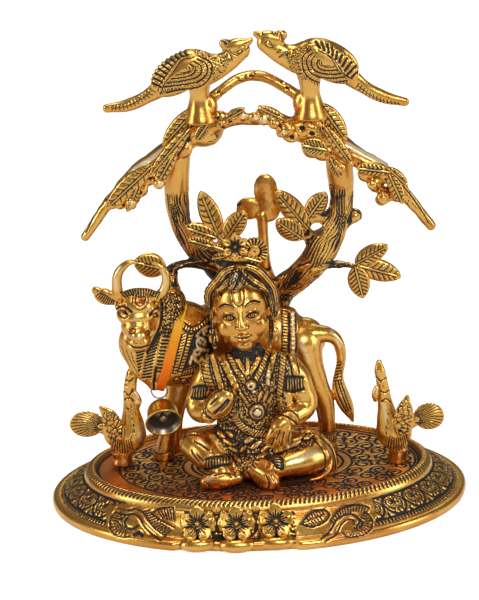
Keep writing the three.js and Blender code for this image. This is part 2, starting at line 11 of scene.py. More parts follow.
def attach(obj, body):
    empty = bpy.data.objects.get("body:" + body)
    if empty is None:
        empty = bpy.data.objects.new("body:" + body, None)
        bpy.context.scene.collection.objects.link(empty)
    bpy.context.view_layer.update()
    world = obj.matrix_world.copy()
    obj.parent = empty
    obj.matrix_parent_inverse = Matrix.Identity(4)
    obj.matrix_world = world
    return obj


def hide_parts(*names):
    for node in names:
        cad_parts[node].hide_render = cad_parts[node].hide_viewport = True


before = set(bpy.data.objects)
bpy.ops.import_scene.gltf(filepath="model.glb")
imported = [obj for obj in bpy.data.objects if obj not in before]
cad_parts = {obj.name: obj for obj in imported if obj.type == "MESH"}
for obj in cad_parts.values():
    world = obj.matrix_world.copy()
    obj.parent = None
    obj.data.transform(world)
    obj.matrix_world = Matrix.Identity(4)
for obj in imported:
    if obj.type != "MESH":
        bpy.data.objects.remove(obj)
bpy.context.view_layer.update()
bpy.ops.object.select_all(action="DESELECT")

MM = 0.001

# The camera

FOCAL = 5886.0
DISTANCE = 2500.0
ELEVATION = math.radians(21.3)
AZIMUTH = math.radians(1.0)
ROLL = math.radians(2.5)
AIM = np.array([-4.9, 0.0, 90.0])
PICTURE_WIDTH = 479
PICTURE_HEIGHT = 600
SENSOR = 36.0

BACK = np.array(
    [
        math.sin(AZIMUTH) * math.cos(ELEVATION),
        -math.cos(AZIMUTH) * math.cos(ELEVATION),
        math.sin(ELEVATION),
    ]
)
LEVEL = np.array([math.cos(AZIMUTH), math.sin(AZIMUTH), 0.0])
STEEP = np.cross(BACK, LEVEL)
RIGHT = LEVEL * math.cos(ROLL) - STEEP * math.sin(ROLL)
UP = STEEP * math.cos(ROLL) + LEVEL * math.sin(ROLL)


def picture(places):
    """Where places in millimetres fall in the picture, in pixels."""
    offset = places - AIM
    depth = DISTANCE - offset @ BACK
    across = PICTURE_WIDTH / 2 + FOCAL * (offset @ RIGHT) / depth
    down = PICTURE_HEIGHT / 2 - FOCAL * (offset @ UP) / depth
    return np.stack([across, down], 1)


def place(across, down, y):
    """The x and z, in millimetres, of what shows at a picture point when it lies at y."""
    u, v = (across - PICTURE_WIDTH / 2) / FOCAL, (PICTURE_HEIGHT / 2 - down) / FOCAL
    rows = np.array([RIGHT + u * BACK, UP + v * BACK])
    wanted = np.array([u, v]) * DISTANCE - rows[:, 1] * y
    x, z = np.linalg.solve(rows[:, [0, 2]], wanted)
    return x + AIM[0], z + AIM[2]


PIXEL = 0.4316


def spots(y, points):
    """Limb stations from picture points: across, down, radius in pixels and, where given, its own y."""
    stations = []
    for point in points:
        depth = point[3] if len(point) > 3 else y
        x, z = place(point[0], point[1], depth)
        stations.append([x, depth, z, point[2] * PIXEL])
    return stations


def make_camera():
    bpy.ops.object.camera_add(location=(AIM + BACK * DISTANCE) * MM)
    camera = bpy.context.object
    camera.name = "camera"
    axes = np.stack([RIGHT, UP, BACK], 1)
    camera.rotation_euler = Matrix(axes.tolist()).to_euler()
    camera.data.sensor_width = SENSOR
    camera.data.lens = FOCAL * SENSOR / PICTURE_HEIGHT
    camera.data.clip_start = 0.1
    camera.data.clip_end = 30.0
    bpy.context.scene.camera = camera


make_camera()

# Materials


def node_maker(material):
    """Clears the nodes of a material or world, and returns a function that makes new ones. An input
    goes by its socket's name, or by i0, i1 and so on where two sockets share a name."""
    material.use_nodes = True
    tree = material.node_tree
    tree.nodes.clear()

    def make(kind, **inputs):
        node = tree.nodes.new(kind)
        for name, value in inputs.items():
            numbered = name[0] == "i" and name[1:].isdigit()
            socket = node.inputs[int(name[1:]) if numbered else name]
            if isinstance(value, bpy.types.NodeSocket):
                tree.links.new(value, socket)
            else:
                socket.default_value = value
        return node

    return make


def new_material(name):
    """A material, its node maker and the place on the piece in metres."""
    material = bpy.data.materials.new(name)
    make = node_maker(material)
    return material, make, make("ShaderNodeTexCoord").outputs["Object"]


def attribute(make, name):
    node = make("ShaderNodeAttribute")
    node.attribute_name = name
    return node.outputs["Fac"]


def ramp(make, factor, stops):
    node = make("ShaderNodeValToRGB", Fac=factor)
    elements = node.color_ramp.elements
    while len(elements) < len(stops):
        elements.new(0.5)
    for element, (place, colour) in zip(elements, stops):
        element.position = place
        element.color = (*colour, 1.0)
    return node.outputs["Color"]


def math_node(make, operation, a, b=0.0, clamp=False):
    node = make("ShaderNodeMath", i0=a, i1=b)
    node.operation = operation
    node.use_clamp = clamp
    return node.outputs[0]


def times(make, a, b):
    return math_node(make, "MULTIPLY", a, b)


def mixed(make, factor, a, b):
    node = make("ShaderNodeMix")
    node.data_type = "RGBA"
    for index, value in ((0, factor), (6, a), (7, b)):
        if isinstance(value, bpy.types.NodeSocket):
            node.id_data.links.new(value, node.inputs[index])
        else:
            node.inputs[index].default_value = (*value, 1.0)
    return node.outputs[2]


def stretched(make, value, low, high, smooth=False):
    """A value that runs from low to high, as 0 to 1."""
    node = make("ShaderNodeMapRange", Value=value, **{"From Min": low, "From Max": high})
    if smooth:
        node.interpolation_type = "SMOOTHSTEP"
    return node.outputs["Result"]


def shade(make, links, settings, fine=None, strength=0.0, depth=0.0):
    """The shader: what drives it, what is the same all over, and a fine grain on its surface."""
    if fine is not None:
        bump = make("ShaderNodeBump", Strength=strength, Distance=depth, Height=fine)
        links = {**links, "Normal": bump.outputs["Normal"]}
    shader = make("ShaderNodeBsdfPrincipled", **links)
    for name, value in settings.items():
        shader.inputs[name].default_value = value
    make("ShaderNodeOutputMaterial", Surface=shader.outputs["BSDF"])


def noise(make, coordinates, scale, detail=3.0):
    node = make("ShaderNodeTexNoise", Vector=coordinates, Scale=scale, Detail=detail)
    return node.outputs["Fac"]


YELLOW_GOLD = (0.88, 0.52, 0.12)
DEEP_GOLD = (0.70, 0.30, 0.045)
COPPER = (0.62, 0.17, 0.025)
PATINA = (0.012, 0.009, 0.007)
# The pale gold of painted highlights
PAINTED_HIGHLIGHT_GOLD = (1.0, 0.84, 0.50)


def antique_gold(name, polish=0.27):
    """Gold plate with dark patina. It reads three attributes of a piece, each from 0 to 1: patina, which
    also holds a painted shadow under the child's chin; warm, from yellow to copper-coloured gold, a random
    copper tone that is also a painted reflection of the orange base low down on the cow, the child and the
    peacocks; and the painted highlight, where a glint of light is painted on and the plate turns pale."""
    material, make, place = new_material(name)
    bright = attribute(make, "bright")
    fine = noise(make, place, 900.0, 4.0)
    blotch = ramp(make, noise(make, place, 60.0), [(0.38, (0, 0, 0)), (0.72, (1, 1, 1))])
    plate = mixed(make, times(make, blotch, 0.55), YELLOW_GOLD, DEEP_GOLD)
    plate = mixed(make, attribute(make, "warm"), plate, COPPER)
    # Painted highlight: the plate turns pale and less metallic where a glint of light is painted on
    plate = mixed(make, bright, plate, PAINTED_HIGHLIGHT_GOLD)
    broken = times(make, math_node(make, "SUBTRACT", fine, 0.5), 0.7)
    grime = math_node(make, "ADD", attribute(make, "patina"), broken)
    black = stretched(make, grime, 0.30, 0.78, smooth=True)
    gloss = math_node(make, "ADD", times(make, fine, 0.16), polish - 0.06)
    rough = math_node(make, "ADD", gloss, times(make, black, 0.42), clamp=True)
    metal = math_node(make, "SUBTRACT", 1.0, times(make, black, 0.75))
    metal = math_node(make, "SUBTRACT", metal, times(make, bright, 0.5), clamp=True)
    links = {"Base Color": mixed(make, black, plate, PATINA), "Metallic": metal, "Roughness": rough}
    shade(make, links, {"Coat Weight": 0.25, "Coat Roughness": 0.12}, fine, 0.12, 0.0004)
    return material


def plain(name, colour, roughness, metallic, mottle=0.08, scale=400.0):
    """A finish of one colour with a slight mottle."""
    material, make, place = new_material(name)
    fine = noise(make, place, scale)
    tone = mixed(make, fine, tuple(c * (1 - 3 * mottle) for c in colour), colour)
    rough = math_node(make, "ADD", times(make, fine, mottle), roughness - mottle / 2)
    shade(make, {"Base Color": tone, "Roughness": rough}, {"Metallic": metallic}, fine, 0.1, 0.0003)
    return material


# The band's colour by height: orange red low down for painted shade, up to yellow for painted light at the
# top
BAND_COLOURS = [
    (0.0, (0.80, 0.09, 0.002)),
    (0.35, (0.95, 0.20, 0.002)),
    (0.65, (1.0, 0.36, 0.004)),
    (1.0, (1.0, 0.60, 0.02)),
]


def shaded_band(name, low, high):
    """A band that goes from orange red at its lowest point to yellow at its top: painted shade low down
    and painted light on top.
    """
    material, make, place = new_material(name)
    height = make("ShaderNodeSeparateXYZ", Vector=place).outputs["Z"]
    tone = ramp(make, stretched(make, height, low, high), BAND_COLOURS)
    weave = noise(make, place, 1400.0)
    settings = {"Roughness": 0.5, "Specular IOR Level": 0.3}
    shade(make, {"Base Color": tone}, settings, weave, 0.15, 0.0002)
    return material


GOLD = antique_gold("antique_gold")
FLOOR_GOLD = antique_gold("engraved_gold", polish=0.4)
BRASS = plain("bell_brass", (0.92, 0.62, 0.16), 0.26, 1.0)
CLAPPER = plain("bell_clapper", (0.46, 0.30, 0.14), 0.4, 0.9)
BAND = shaded_band("orange_band", 0.049, 0.087)
STEEL = plain("bright_wire", (0.72, 0.70, 0.66), 0.25, 1.0)
DULL = plain("dull_inside", (0.36, 0.31, 0.24), 0.34, 0.9, mottle=0.15, scale=250.0)

# Light and floor


def softbox(name, place, size, watts):
    bpy.ops.object.light_add(type="AREA", location=place)
    lamp = bpy.context.object
    lamp.name = name
    lamp.data.shape = "RECTANGLE"
    lamp.data.size, lamp.data.size_y = size
    lamp.data.energy = watts
    lamp.visible_camera = False
    aim = Vector((0.0, 0.0, 0.1)) - Vector(place)
    lamp.rotation_euler = aim.to_track_quat("-Z", "Y").to_euler()


def seen_white(make, colour, strength, brightness=1.0):
    """White where the camera looks straight at it, and a colour where the metal mirrors it."""
    eye = make("ShaderNodeLightPath").outputs["Is Camera Ray"]
    tone = mixed(make, eye, colour, (1.0, 1.0, 1.0))
    power = math_node(make, "ADD", math_node(make, "MULTIPLY", eye, brightness - strength), strength)
    return tone, power


def make_studio():
    softbox("key", (0.35, -1.2, 0.95), (0.55, 0.4), 8.5)
    softbox("left_box", (-1.3, -0.5, 0.5), (0.35, 0.8), 5.0)
    softbox("right_box", (1.3, -0.4, 0.45), (0.35, 0.8), 4.5)
    softbox("top_box", (-0.1, 0.1, 1.4), (0.9, 0.5), 7.0)
    softbox("back_box", (0.3, 1.5, 1.5), (1.0, 0.6), 3.0)
    world = bpy.data.worlds.new("studio")
    bpy.context.scene.world = world
    make = node_maker(world)
    tone, power = seen_white(make, (1.0, 0.86, 0.70), 0.16)
    sky = make("ShaderNodeBackground", Color=tone, Strength=power)
    make("ShaderNodeOutputWorld", Surface=sky.outputs["Background"])
    bpy.ops.mesh.primitive_plane_add(size=12.0, location=(0, 0, 0))
    floor = bpy.context.object
    floor.name = "floor"
    pale = bpy.data.materials.new("pale_floor")
    make = node_maker(pale)
    tone, power = seen_white(make, (1.0, 0.95, 0.9), 0.1, 0.62)
    settings = {"Base Color": (0.8, 0.8, 0.8, 1.0), "Roughness": 0.95, "Specular IOR Level": 0.0}
    shade(make, {"Emission Color": tone, "Emission Strength": power}, settings)
    floor.data.materials.append(pale)
    bpy.context.scene.view_settings.view_transform = "Standard"


make_studio()

# Clay: smooth rounds, joined and remeshed into one skin


def pick(*pieces):
    """Selects pieces and nothing else, and makes the first one active."""
    bpy.ops.object.select_all(action="DESELECT")
    for piece in pieces:
        piece.select_set(True)
    bpy.context.view_layer.objects.active = pieces[0]


def read(piece):
    flat = np.empty(len(piece.data.vertices) * 3)
    piece.data.vertices.foreach_get("co", flat)
    return flat.reshape(-1, 3) / MM


def normals(piece):
    flat = np.empty(len(piece.data.vertices) * 3)
    piece.data.vertex_normals.foreach_get("vector", flat)
    return flat.reshape(-1, 3)


def write(piece, places):
    piece.data.vertices.foreach_set("co", (places * MM).ravel())
    piece.data.update()


def ball(at, radii, tilt=(0, 0, 0), segments=24):
    bpy.ops.mesh.primitive_uv_sphere_add(segments=segments, ring_count=segments // 2 + 2)
    piece = bpy.context.object
    piece.scale = [radius * MM for radius in radii]
    piece.rotation_euler = [math.radians(a) for a in tilt]
    piece.location = [c * MM for c in at]
    bpy.ops.object.transform_apply(location=True, rotation=True, scale=True)
    return piece


def nearest(places, line):
    """For each place: the length along a line to its nearest point, that point, and the distance."""
    best = np.full(len(places), 1e9)
    where = np.zeros(len(places))
    point = np.zeros((len(places), 3))
    start = 0.0
    for a, b in zip(line[:-1], line[1:]):
        step = b - a
        length = np.linalg.norm(step)
        t = np.clip((places - a) @ step / max(length**2, 1e-9), 0, 1)
        foot = a + t[:, None] * step
        far = np.linalg.norm(places - foot, axis=1)
        nearer = far < best
        best[nearer] = far[nearer]
        where[nearer] = start + t[nearer] * length
        point[nearer] = foot[nearer]
        start += length
    return where, point, best


def limb(stations, flat=1.0, caps=True):
    """A smooth limb through stations of x, y, z and radius, flattened front to back."""
    widest = max(station[3] for station in stations)
    slim = widest < 6
    bpy.ops.curve.primitive_bezier_curve_add()
    line = bpy.context.object.data
    spline = line.splines[0]
    if len(stations) > 2:
        spline.bezier_points.add(len(stations) - 2)
    for point, (x, y, z, radius) in zip(spline.bezier_points, stations):
        point.co = (x * MM, y * MM, z * MM)
        point.radius = radius
        point.handle_left_type = "AUTO"
        point.handle_right_type = "AUTO"
    spline.radius_interpolation = "CARDINAL"
    line.dimensions = "3D"
    line.bevel_depth = MM
    line.bevel_resolution = int(4 + 1.1 * widest)
    line.use_fill_caps = True
    line.resolution_u = 6 if slim else 14
    bpy.ops.object.convert(target="MESH")
    piece = bpy.context.object
    if flat != 1.0:
        places = read(piece)
        point = nearest(places, np.array(stations, float)[:, :3])[1]
        places[:, 1] = point[:, 1] + (places[:, 1] - point[:, 1]) * flat
        write(piece, places)
    if not caps:
        return [piece]
    segments = 16 if slim else 48
    ends = [ball(at, (r, r * flat, r), segments=segments) for *at, r in (stations[0], stations[-1])]
    return [piece, *ends]


def flatten(parts):
    """One list from a list that holds pieces and lists of pieces."""
    whole = []
    for part in parts:
        whole.extend(flatten(part) if isinstance(part, list) else [part])
    return whole


def join(name, parts):
    parts = flatten(parts)
    pick(*parts)
    if len(parts) > 1:
        bpy.ops.object.join()
    whole = bpy.context.object
    whole.name = name
    whole.data.name = name
    return whole


def clay(name, parts, voxel, rounds):
    """Parts melted into one skin of even squares, then rubbed smooth."""
    whole = join(name, parts)
    remesh = whole.modifiers.new("melt", "REMESH")
    remesh.mode = "VOXEL"
    remesh.voxel_size = voxel * MM
    bpy.ops.object.modifier_apply(modifier=remesh.name)
    rub = whole.modifiers.new("rub", "SMOOTH")
    rub.factor = 0.5
    rub.iterations = rounds
    bpy.ops.object.modifier_apply(modifier=rub.name)
    return whole


def cut_below(piece, height):
    """The flat cut under a piece that stands on the base."""
    places = read(piece)
    places[:, 2] = np.maximum(places[:, 2], height)
    write(piece, places)


# Relief: lines and bosses moved into a skin along its normals


def smoothstep(t):
    t = np.clip(t, 0.0, 1.0)
    return t * t * (3 - 2 * t)


def curve(points, steps=6):
    """Given points as a smooth line."""
    points = np.asarray(points, float)
    if len(points) < 3:
        return points
    padded = np.vstack([2 * points[0] - points[1], points, 2 * points[-1] - points[-2]])
    line = []
    for p0, p1, p2, p3 in zip(padded[:-3], padded[1:-2], padded[2:-1], padded[3:]):
        bend = 2 * p0 - 5 * p1 + 4 * p2 - p3
        sway = 3 * p1 - p0 - 3 * p2 + p3
        for t in np.arange(steps) / steps:
            line.append(0.5 * (2 * p1 + (p2 - p0) * t + bend * t**2 + sway * t**3))
    return np.array([*line, points[-1]])


def mileage(line):
    """The length along a line at each of its points."""
    return np.concatenate([[0], np.cumsum(np.linalg.norm(np.diff(line, axis=0), axis=1))])


def ahead_and_across(line):
    """At each point of a line on the picture: the way it runs, and the way across it."""
    ahead = np.gradient(line, axis=0)
    ahead /= np.linalg.norm(ahead, axis=1)[:, None]
    return ahead, np.stack([-ahead[:, 1], ahead[:, 0]], 1)


def oval(middle, wide, high, steps=28, start=0.0):
    """A closed line round a middle."""
    t = np.linspace(start, start + 2 * np.pi, steps)
    return np.asarray(middle) + np.stack([wide * np.cos(t), high * np.sin(t)], 1)


def turn(first, second, degrees):
    """Two coordinates turned about the third axis."""
    a = math.radians(degrees)
    return first * math.cos(a) - second * math.sin(a), first * math.sin(a) + second * math.cos(a)


def stripes(along, pitch, width, soft=1.4):
    """Even lines across a length: 1 on a line, 0 between two."""
    return smoothstep(soft - np.abs((along / pitch) % 1 - 0.5) * pitch / width)


def spaced(line, count, first=0.0):
    """Evenly spaced places on a line."""
    line = np.asarray(line, float)
    lengths = mileage(line)
    wanted = np.linspace(first, 1.0, count) * lengths[-1]
    return np.stack([np.interp(wanted, lengths, line[:, k]) for k in range(line.shape[1])], 1)


def scatter(cell, seed=0):
    """An even random number from 0 to 1 for each whole-numbered cell."""
    x, y, z = (cell[:, k].astype(np.int64).astype(np.uint32) for k in range(3))
    h = x * np.uint32(73856093) ^ y * np.uint32(19349663) ^ z * np.uint32(83492791)
    h ^= np.uint32((seed * 2654435761) % 2**32)
    h ^= h >> np.uint32(13)
    h = h * np.uint32(1274126177)
    h ^= h >> np.uint32(16)
    return h / 2.0**32


def grain(places, size, seed=0):
    """Smooth noise from 0 to 1, with lumps of a size in millimetres."""
    scaled = places / size
    cell = np.floor(scaled)
    share = smoothstep(scaled - cell)
    total = np.zeros(len(places))
    for corner in np.ndindex(2, 2, 2):
        weight = np.prod(np.where(np.array(corner) == 1, share, 1 - share), axis=1)
        total += weight * scatter(cell + corner, seed)
    return total


def cells(places, size, seed=0):
    """For each place the distance to the nearest of some scattered points, and to the second."""
    scaled = places / size
    cell = np.floor(scaled)
    first = np.full(len(places), 9.0)
    second = np.full(len(places), 9.0)
    for corner in np.ndindex(3, 3, 3):
        other = cell + np.array(corner) - 1
        point = other + np.stack([scatter(other, seed + k) for k in range(3)], 1)
        far = np.linalg.norm(scaled - point, axis=1)
        second = np.minimum(second, np.maximum(first, far))
        first = np.minimum(first, far)
    return first, second


class Skin:
    """A piece's surface while it is carved: its places and normals, how far each point is to rise or sink
    along its normal, how dark its patina is, how warm its gold, and where a painted highlight makes it
    pale.
    Lines are in picture points, on what faces the camera, until draw_on chooses something else."""

    def __init__(self, piece):
        self.piece = piece
        self.co = read(piece)
        self.normal = normals(piece)
        self.rise, self.cut, self.dark, self.warm, self.bright = np.zeros((5, len(self.co)))
        self.seen = picture(self.co)
        self.front = self.normal @ BACK > 0.08
        self.draw_on(self.seen, self.front)

    def draw_on(self, flat, mask):
        """Chooses the flat map that lines are drawn on, and the points that they reach."""
        self.flat = flat
        self.mask = mask

    def near(self, points, reach):
        """The points by a line, and how far each is from it."""
        points = np.asarray(points, float)
        low, high = points.min(0) - reach, points.max(0) + reach
        near = np.flatnonzero(self.mask & (self.flat >= low).all(1) & (self.flat <= high).all(1))
        best = np.full(len(near), 1e9)
        places = self.flat[near]
        for a, b in zip(points[:-1], points[1:]):
            step = b - a
            t = np.clip((places - a) @ step / max(step @ step, 1e-9), 0, 1)
            best = np.minimum(best, np.linalg.norm(places - a - t[:, None] * step, axis=1))
        return near, best

    def sink(self, share, depth, dark, where=slice(None)):
        """Sinks and blackens points by a share, unless they are deeper or darker already."""
        self.cut[where] = np.maximum(self.cut[where], depth * share)
        self.dark[where] = np.maximum(self.dark[where], dark * share)

    def clear(self, where):
        self.cut[where] = 0.0
        self.dark[where] = 0.0

    def groove(self, points, width=1.0, depth=0.35, dark=1.25):
        """Sinks a line. Width is half the line's width, in the units of the map."""
        near, far = self.near(points, width * 1.4)
        self.sink(smoothstep(1.4 - far / width), depth, dark, near)

    def draw(self, lines, width, depth, dark=1.25):
        """Sinks some lines, each smoothed first."""
        for line in lines:
            self.groove(curve(line), width, depth, dark)

    def ridge(self, points, width, height):
        """Raises a rounded line, and rubs the patina off it."""
        near, far = self.near(points, width)
        fall = np.sqrt(np.clip(1 - (far / width) ** 2, 0, 1))
        self.rise[near] = np.maximum(self.rise[near], height * fall)
        self.dark[near] *= 1 - smoothstep(fall * 1.3)

    def boss(self, at, radius, height):
        """Raises a round boss."""
        self.ridge([at, at], radius, height)

    def paint_highlight(self, at, radius, share=1.0):
        """Paints a highlight, a pale glint of light, on a spot or a line."""
        near, far = self.near([at, at] if np.ndim(at) == 1 else at, radius)
        fall = share * smoothstep(1.2 * (1 - far / radius))
        self.bright[near] = np.maximum(self.bright[near], fall)

    # Painted highlights on a list of spots and lines
    def paint_highlights(self, spots_and_lines, share=1.0):
        for at, radius in spots_and_lines:
            self.paint_highlight(at, radius, share)

    def petal(self, start, tip, width, outline):
        """Raises an almond between two points, clears it of patina and blackens its outline."""
        start, tip = np.asarray(start, float), np.asarray(tip, float)
        step = tip - start
        length = np.linalg.norm(step)
        far = np.linalg.norm(self.flat - (start + tip) / 2, axis=1)
        near = np.flatnonzero(self.mask & (far < length / 2 + width + outline))
        offset = self.flat[near] - start
        t = offset @ step / length**2
        off = np.abs(offset @ np.array([-step[1], step[0]]) / length)
        half = width * np.sin(np.pi * np.clip(t, 0, 1)) ** 0.6
        shape = np.where((t > 0) & (t < 1), 1 - off / np.maximum(half, 1e-6), -1.0)
        inside = near[shape > 0]
        dome = 0.7 * np.sqrt(1 - (1 - shape[shape > 0]) ** 2)
        self.clear(inside)
        self.rise[inside] = np.maximum(self.rise[inside], dome)
        beyond = np.maximum(off - half, np.maximum(-t, t - 1) * length)
        rim = near[(shape <= 0) & (beyond < outline)]
        self.dark[rim] = 1.0
        self.cut[rim] = np.maximum(self.cut[rim], 0.3)

    def hatch(self, rails, count, width=0.7, depth=0.3, dark=1.25, first=0.0):
        """Cuts a ladder of lines between two rails."""
        for a, b in zip(*(spaced(rail, count, first) for rail in rails)):
            self.groove([a, b], width, depth, dark)

    def comb(self, rails, count, width=0.7, depth=0.3):
        """Cuts a ladder of lines between two rails, each smoothed first."""
        self.hatch([curve(rail) for rail in rails], count, width, depth)

    def ladder(self, rails, count, width=0.55, depth=0.35, edge=0.6):
        """A ladder of lines with its two rails."""
        self.comb(rails, count, width, depth)
        self.draw(rails, edge, depth)

    def inside(self, outline):
        """A mask of the points inside an outline."""
        outline = np.asarray(outline, float)
        found = np.zeros(len(self.flat), bool)
        x, y = self.flat.T
        for (x0, y0), (x1, y1) in zip(outline, np.roll(outline, -1, 0)):
            if y1 != y0:
                crosses = (y0 > y) != (y1 > y)
                found ^= crosses & (x < (x1 - x0) * (y - y0) / (y1 - y0) + x0)
        return found & self.mask

    def curls(self, outline, size, depth, seed=0):
        """Small round bosses on a black ground."""
        mask = self.inside(outline)
        first, second = cells(self.co[mask], size, seed)
        gap = smoothstep(1 - (second - first) / 0.34)
        pit = smoothstep((first - 0.42) / 0.3)
        self.sink(np.maximum(gap, pit), depth, 1.0, mask)

    def scales(self, outline, size, seed):
        """Overlapping rounds with black between them."""
        mask = self.inside(outline)
        first, second = cells(self.co[mask], size, seed)
        self.sink(smoothstep(1.15 - (second - first) / 0.16), 0.3, 0.9, mask)

    def clouds(self, size, start=0.5, fade=0.2):
        """Soft clouds from 0 to 1, for the warmth."""
        return smoothstep((grain(self.co, size, 8) - start) / fade)

    def finish(self, cavity=1.0, wear=0.35):
        """Moves the points, darkens the hollows, and stores the patina, the warmth and the painted
        highlights.
        """
        mesh = self.piece.data
        places = self.co + self.normal * (self.rise - self.cut)[:, None]
        write(self.piece, places)
        normal = normals(self.piece)
        edges = np.empty(len(mesh.edges) * 2, np.int32)
        mesh.edges.foreach_get("vertices", edges)
        a, b = edges.reshape(-1, 2).T
        count = len(places)
        valence = np.maximum(np.bincount(a, minlength=count) + np.bincount(b, minlength=count), 1)

        def rubbed(values, rounds):
            for _ in range(rounds):
                total = [
                    np.bincount(a, column[b], count) + np.bincount(b, column[a], count)
                    for column in values.T
                ]
                values = 0.5 * values + 0.5 * np.stack(total, 1) / valence[:, None]
            return values

        near = rubbed(places, 4)
        broad = rubbed(near, 22)
        fine_hollow = ((near - places) * normal).sum(1)
        broad_hollow = ((broad - places) * normal).sum(1)
        hollow = np.clip(fine_hollow / 0.10, -1, 1) * 0.55 + np.clip(broad_hollow / 0.55 - 0.25, -0.5, 1)
        shade = self.dark + cavity * np.clip(hollow, 0, 1) - wear * np.clip(-hollow, 0, 1)
        store(mesh, "patina", np.clip(shade, 0, 1.35))
        store(mesh, "warm", np.clip(self.warm, 0, 1))
        store(mesh, "bright", self.bright)
        return self.piece


def store(mesh, name, values):
    attribute = mesh.attributes.get(name) or mesh.attributes.new(name, "FLOAT", "POINT")
    attribute.data.foreach_set("value", np.asarray(values, np.float32))


def paint(piece, patina):
    """The patina of a piece that isn't carved. Its gold is yellow all over."""
    store(piece.data, "patina", patina.ravel())
    store(piece.data, "warm", np.zeros(patina.size))


MOST_TRIANGLES = {
    "base": 140000,
    "base_floor": 95000,
    "child_figure": 188000,
    "cow": 140000,
    "tree": 105000,
    "canopy": 95000,
}
MOST_IN_SMALL_PIECES = 43000


def thin(piece):
    """Fewer faces where the metal is flat, so that the piece stays light."""
    most = MOST_TRIANGLES.get(piece.name.split(".")[0], MOST_IN_SMALL_PIECES)
    corners = np.empty(len(piece.data.polygons), int)
    piece.data.polygons.foreach_get("loop_total", corners)
    triangles = int(corners.sum()) - 2 * len(corners)
    if triangles <= most:
        return
    bpy.context.view_layer.objects.active = piece
    fewer = piece.modifiers.new("thin", "DECIMATE")
    fewer.ratio = most / triangles
    bpy.ops.object.modifier_apply(modifier=fewer.name)


def dress(piece, material, slot, *nodes):
    """The last things that every piece gets."""
    thin(piece)
    piece.data.materials.clear()
    piece.data.materials.append(material)
    piece.data.shade_smooth()
    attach(piece, "root")
    if nodes:
        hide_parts(*nodes)


def mesh_piece(name, places, faces):
    mesh = bpy.data.meshes.new(name)
    mesh.from_pydata((places.reshape(-1, 3) * MM).tolist(), [], faces.reshape(-1, 4).tolist())
    piece = bpy.data.objects.new(name, mesh)
    bpy.context.collection.objects.link(piece)
    return piece


def grid_piece(name, grid, wrap_rows=False, wrap_columns=False):
    """A piece from a grid of places, rows by columns."""
    rows, columns = grid.shape[:2]
    row = np.arange(rows if wrap_rows else rows - 1)
    column = np.arange(columns if wrap_columns else columns - 1)
    r, c = np.meshgrid(row, column, indexing="ij")
    r1, c1 = (r + 1) % rows, (c + 1) % columns
    faces = np.stack([r * columns + c, r * columns + c1, r1 * columns + c1, r1 * columns + c], -1)
    return mesh_piece(name, grid, faces)


def face_outwards(piece):
    pick(piece)
    bpy.ops.object.mode_set(mode="EDIT")
    bpy.ops.mesh.select_all(action="SELECT")
    bpy.ops.mesh.remove_doubles(threshold=1e-7)
    bpy.ops.mesh.normals_make_consistent(inside=False)
    bpy.ops.object.mode_set(mode="OBJECT")


LEAF_PITCH = 0.36
LEAF_THICKNESS = 1.9


def leaf(at, angle, length, width, veins):
    """A veined leaf plate from `at`, pointing `angle` degrees up from +X and facing the front."""
    long_steps = max(16, int(length / LEAF_PITCH))
    wide_steps = max(10, int(width / LEAF_PITCH))
    u, v = np.meshgrid(np.linspace(0, 1, long_steps), np.linspace(-1, 1, wide_steps), indexing="ij")
    outline = np.maximum(np.sin(np.pi * u**0.95) ** 0.56, 0.02)
    half = width / 2 * outline
    x = u * length
    z = v * half
    y = v**2 * outline - 0.5
    off = np.abs(z)
    beside_midrib = smoothstep(1.5 - np.abs(off - 0.6) / 0.25) * (u < 0.9)
    between = (off > 0.9) & (off < half * 0.80) & (u > 0.06)
    vein = stripes(x - 0.75 * off, length / (veins + 1), 0.36, 1.5) * between
    depth = np.maximum(0.4 * beside_midrib, 0.34 * vein)
    dark = np.maximum(beside_midrib, 0.95 * vein)
    near_edge = smoothstep((np.abs(v) - 0.8) / 0.2)
    front = np.stack([x, y + depth + 0.25 * LEAF_THICKNESS * near_edge, z], -1)
    back = np.stack([x, y + LEAF_THICKNESS * (1 - 0.45 * near_edge), z], -1)
    x, y, z = np.moveaxis(np.concatenate([front, back[:, ::-1]], axis=1), -1, 0)
    x, z = turn(x, z, angle)
    piece = grid_piece("leaf", np.stack([x, y, z], -1) + np.array(at, float), wrap_columns=True)
    shades = np.concatenate([dark, np.zeros_like(dark)], axis=1)
    paint(piece, shades)
    cap_ends(piece, *shades.shape)
    return piece


def picture_leaf(start, tip, width, y, veins=7):
    """A leaf between two picture points, with its width in pixels."""
    (x0, z0), (x1, z1) = place(*start, y), place(*tip, y)
    length = math.hypot(x1 - x0, z1 - z0)
    angle = math.degrees(math.atan2(z1 - z0, x1 - x0))
    return leaf([x0, y, z0], angle, length, width * PIXEL, veins)


def cap_ends(piece, rows, columns):
    """Closes the first and last row of a grid that is closed round its columns."""
    shape = bmesh.new()
    shape.from_mesh(piece.data)
    shape.verts.ensure_lookup_table()
    shape.faces.new([shape.verts[c] for c in range(columns)])
    shape.faces.new([shape.verts[(rows - 1) * columns + c] for c in reversed(range(columns))])
    bmesh.ops.recalc_face_normals(shape, faces=shape.faces)
    shape.to_mesh(piece.data)
    shape.free()


# The base

BASE_HALF_WIDTH = 88.9
BASE_HALF_DEPTH = 63.5
PLATFORM_HALF_WIDTH = 74.0
PLATFORM_HALF_DEPTH = 45.7
RIM_TOP = 16.0
FLOOR_LEVEL = 14.2
ON_FLOOR = 14.5
SKIRT_FOOT = 4.2
SKIRT_TOP = 11.6
SKIRT_MIDDLE = 8.5
FLOWERS_MIDDLE = -9.3


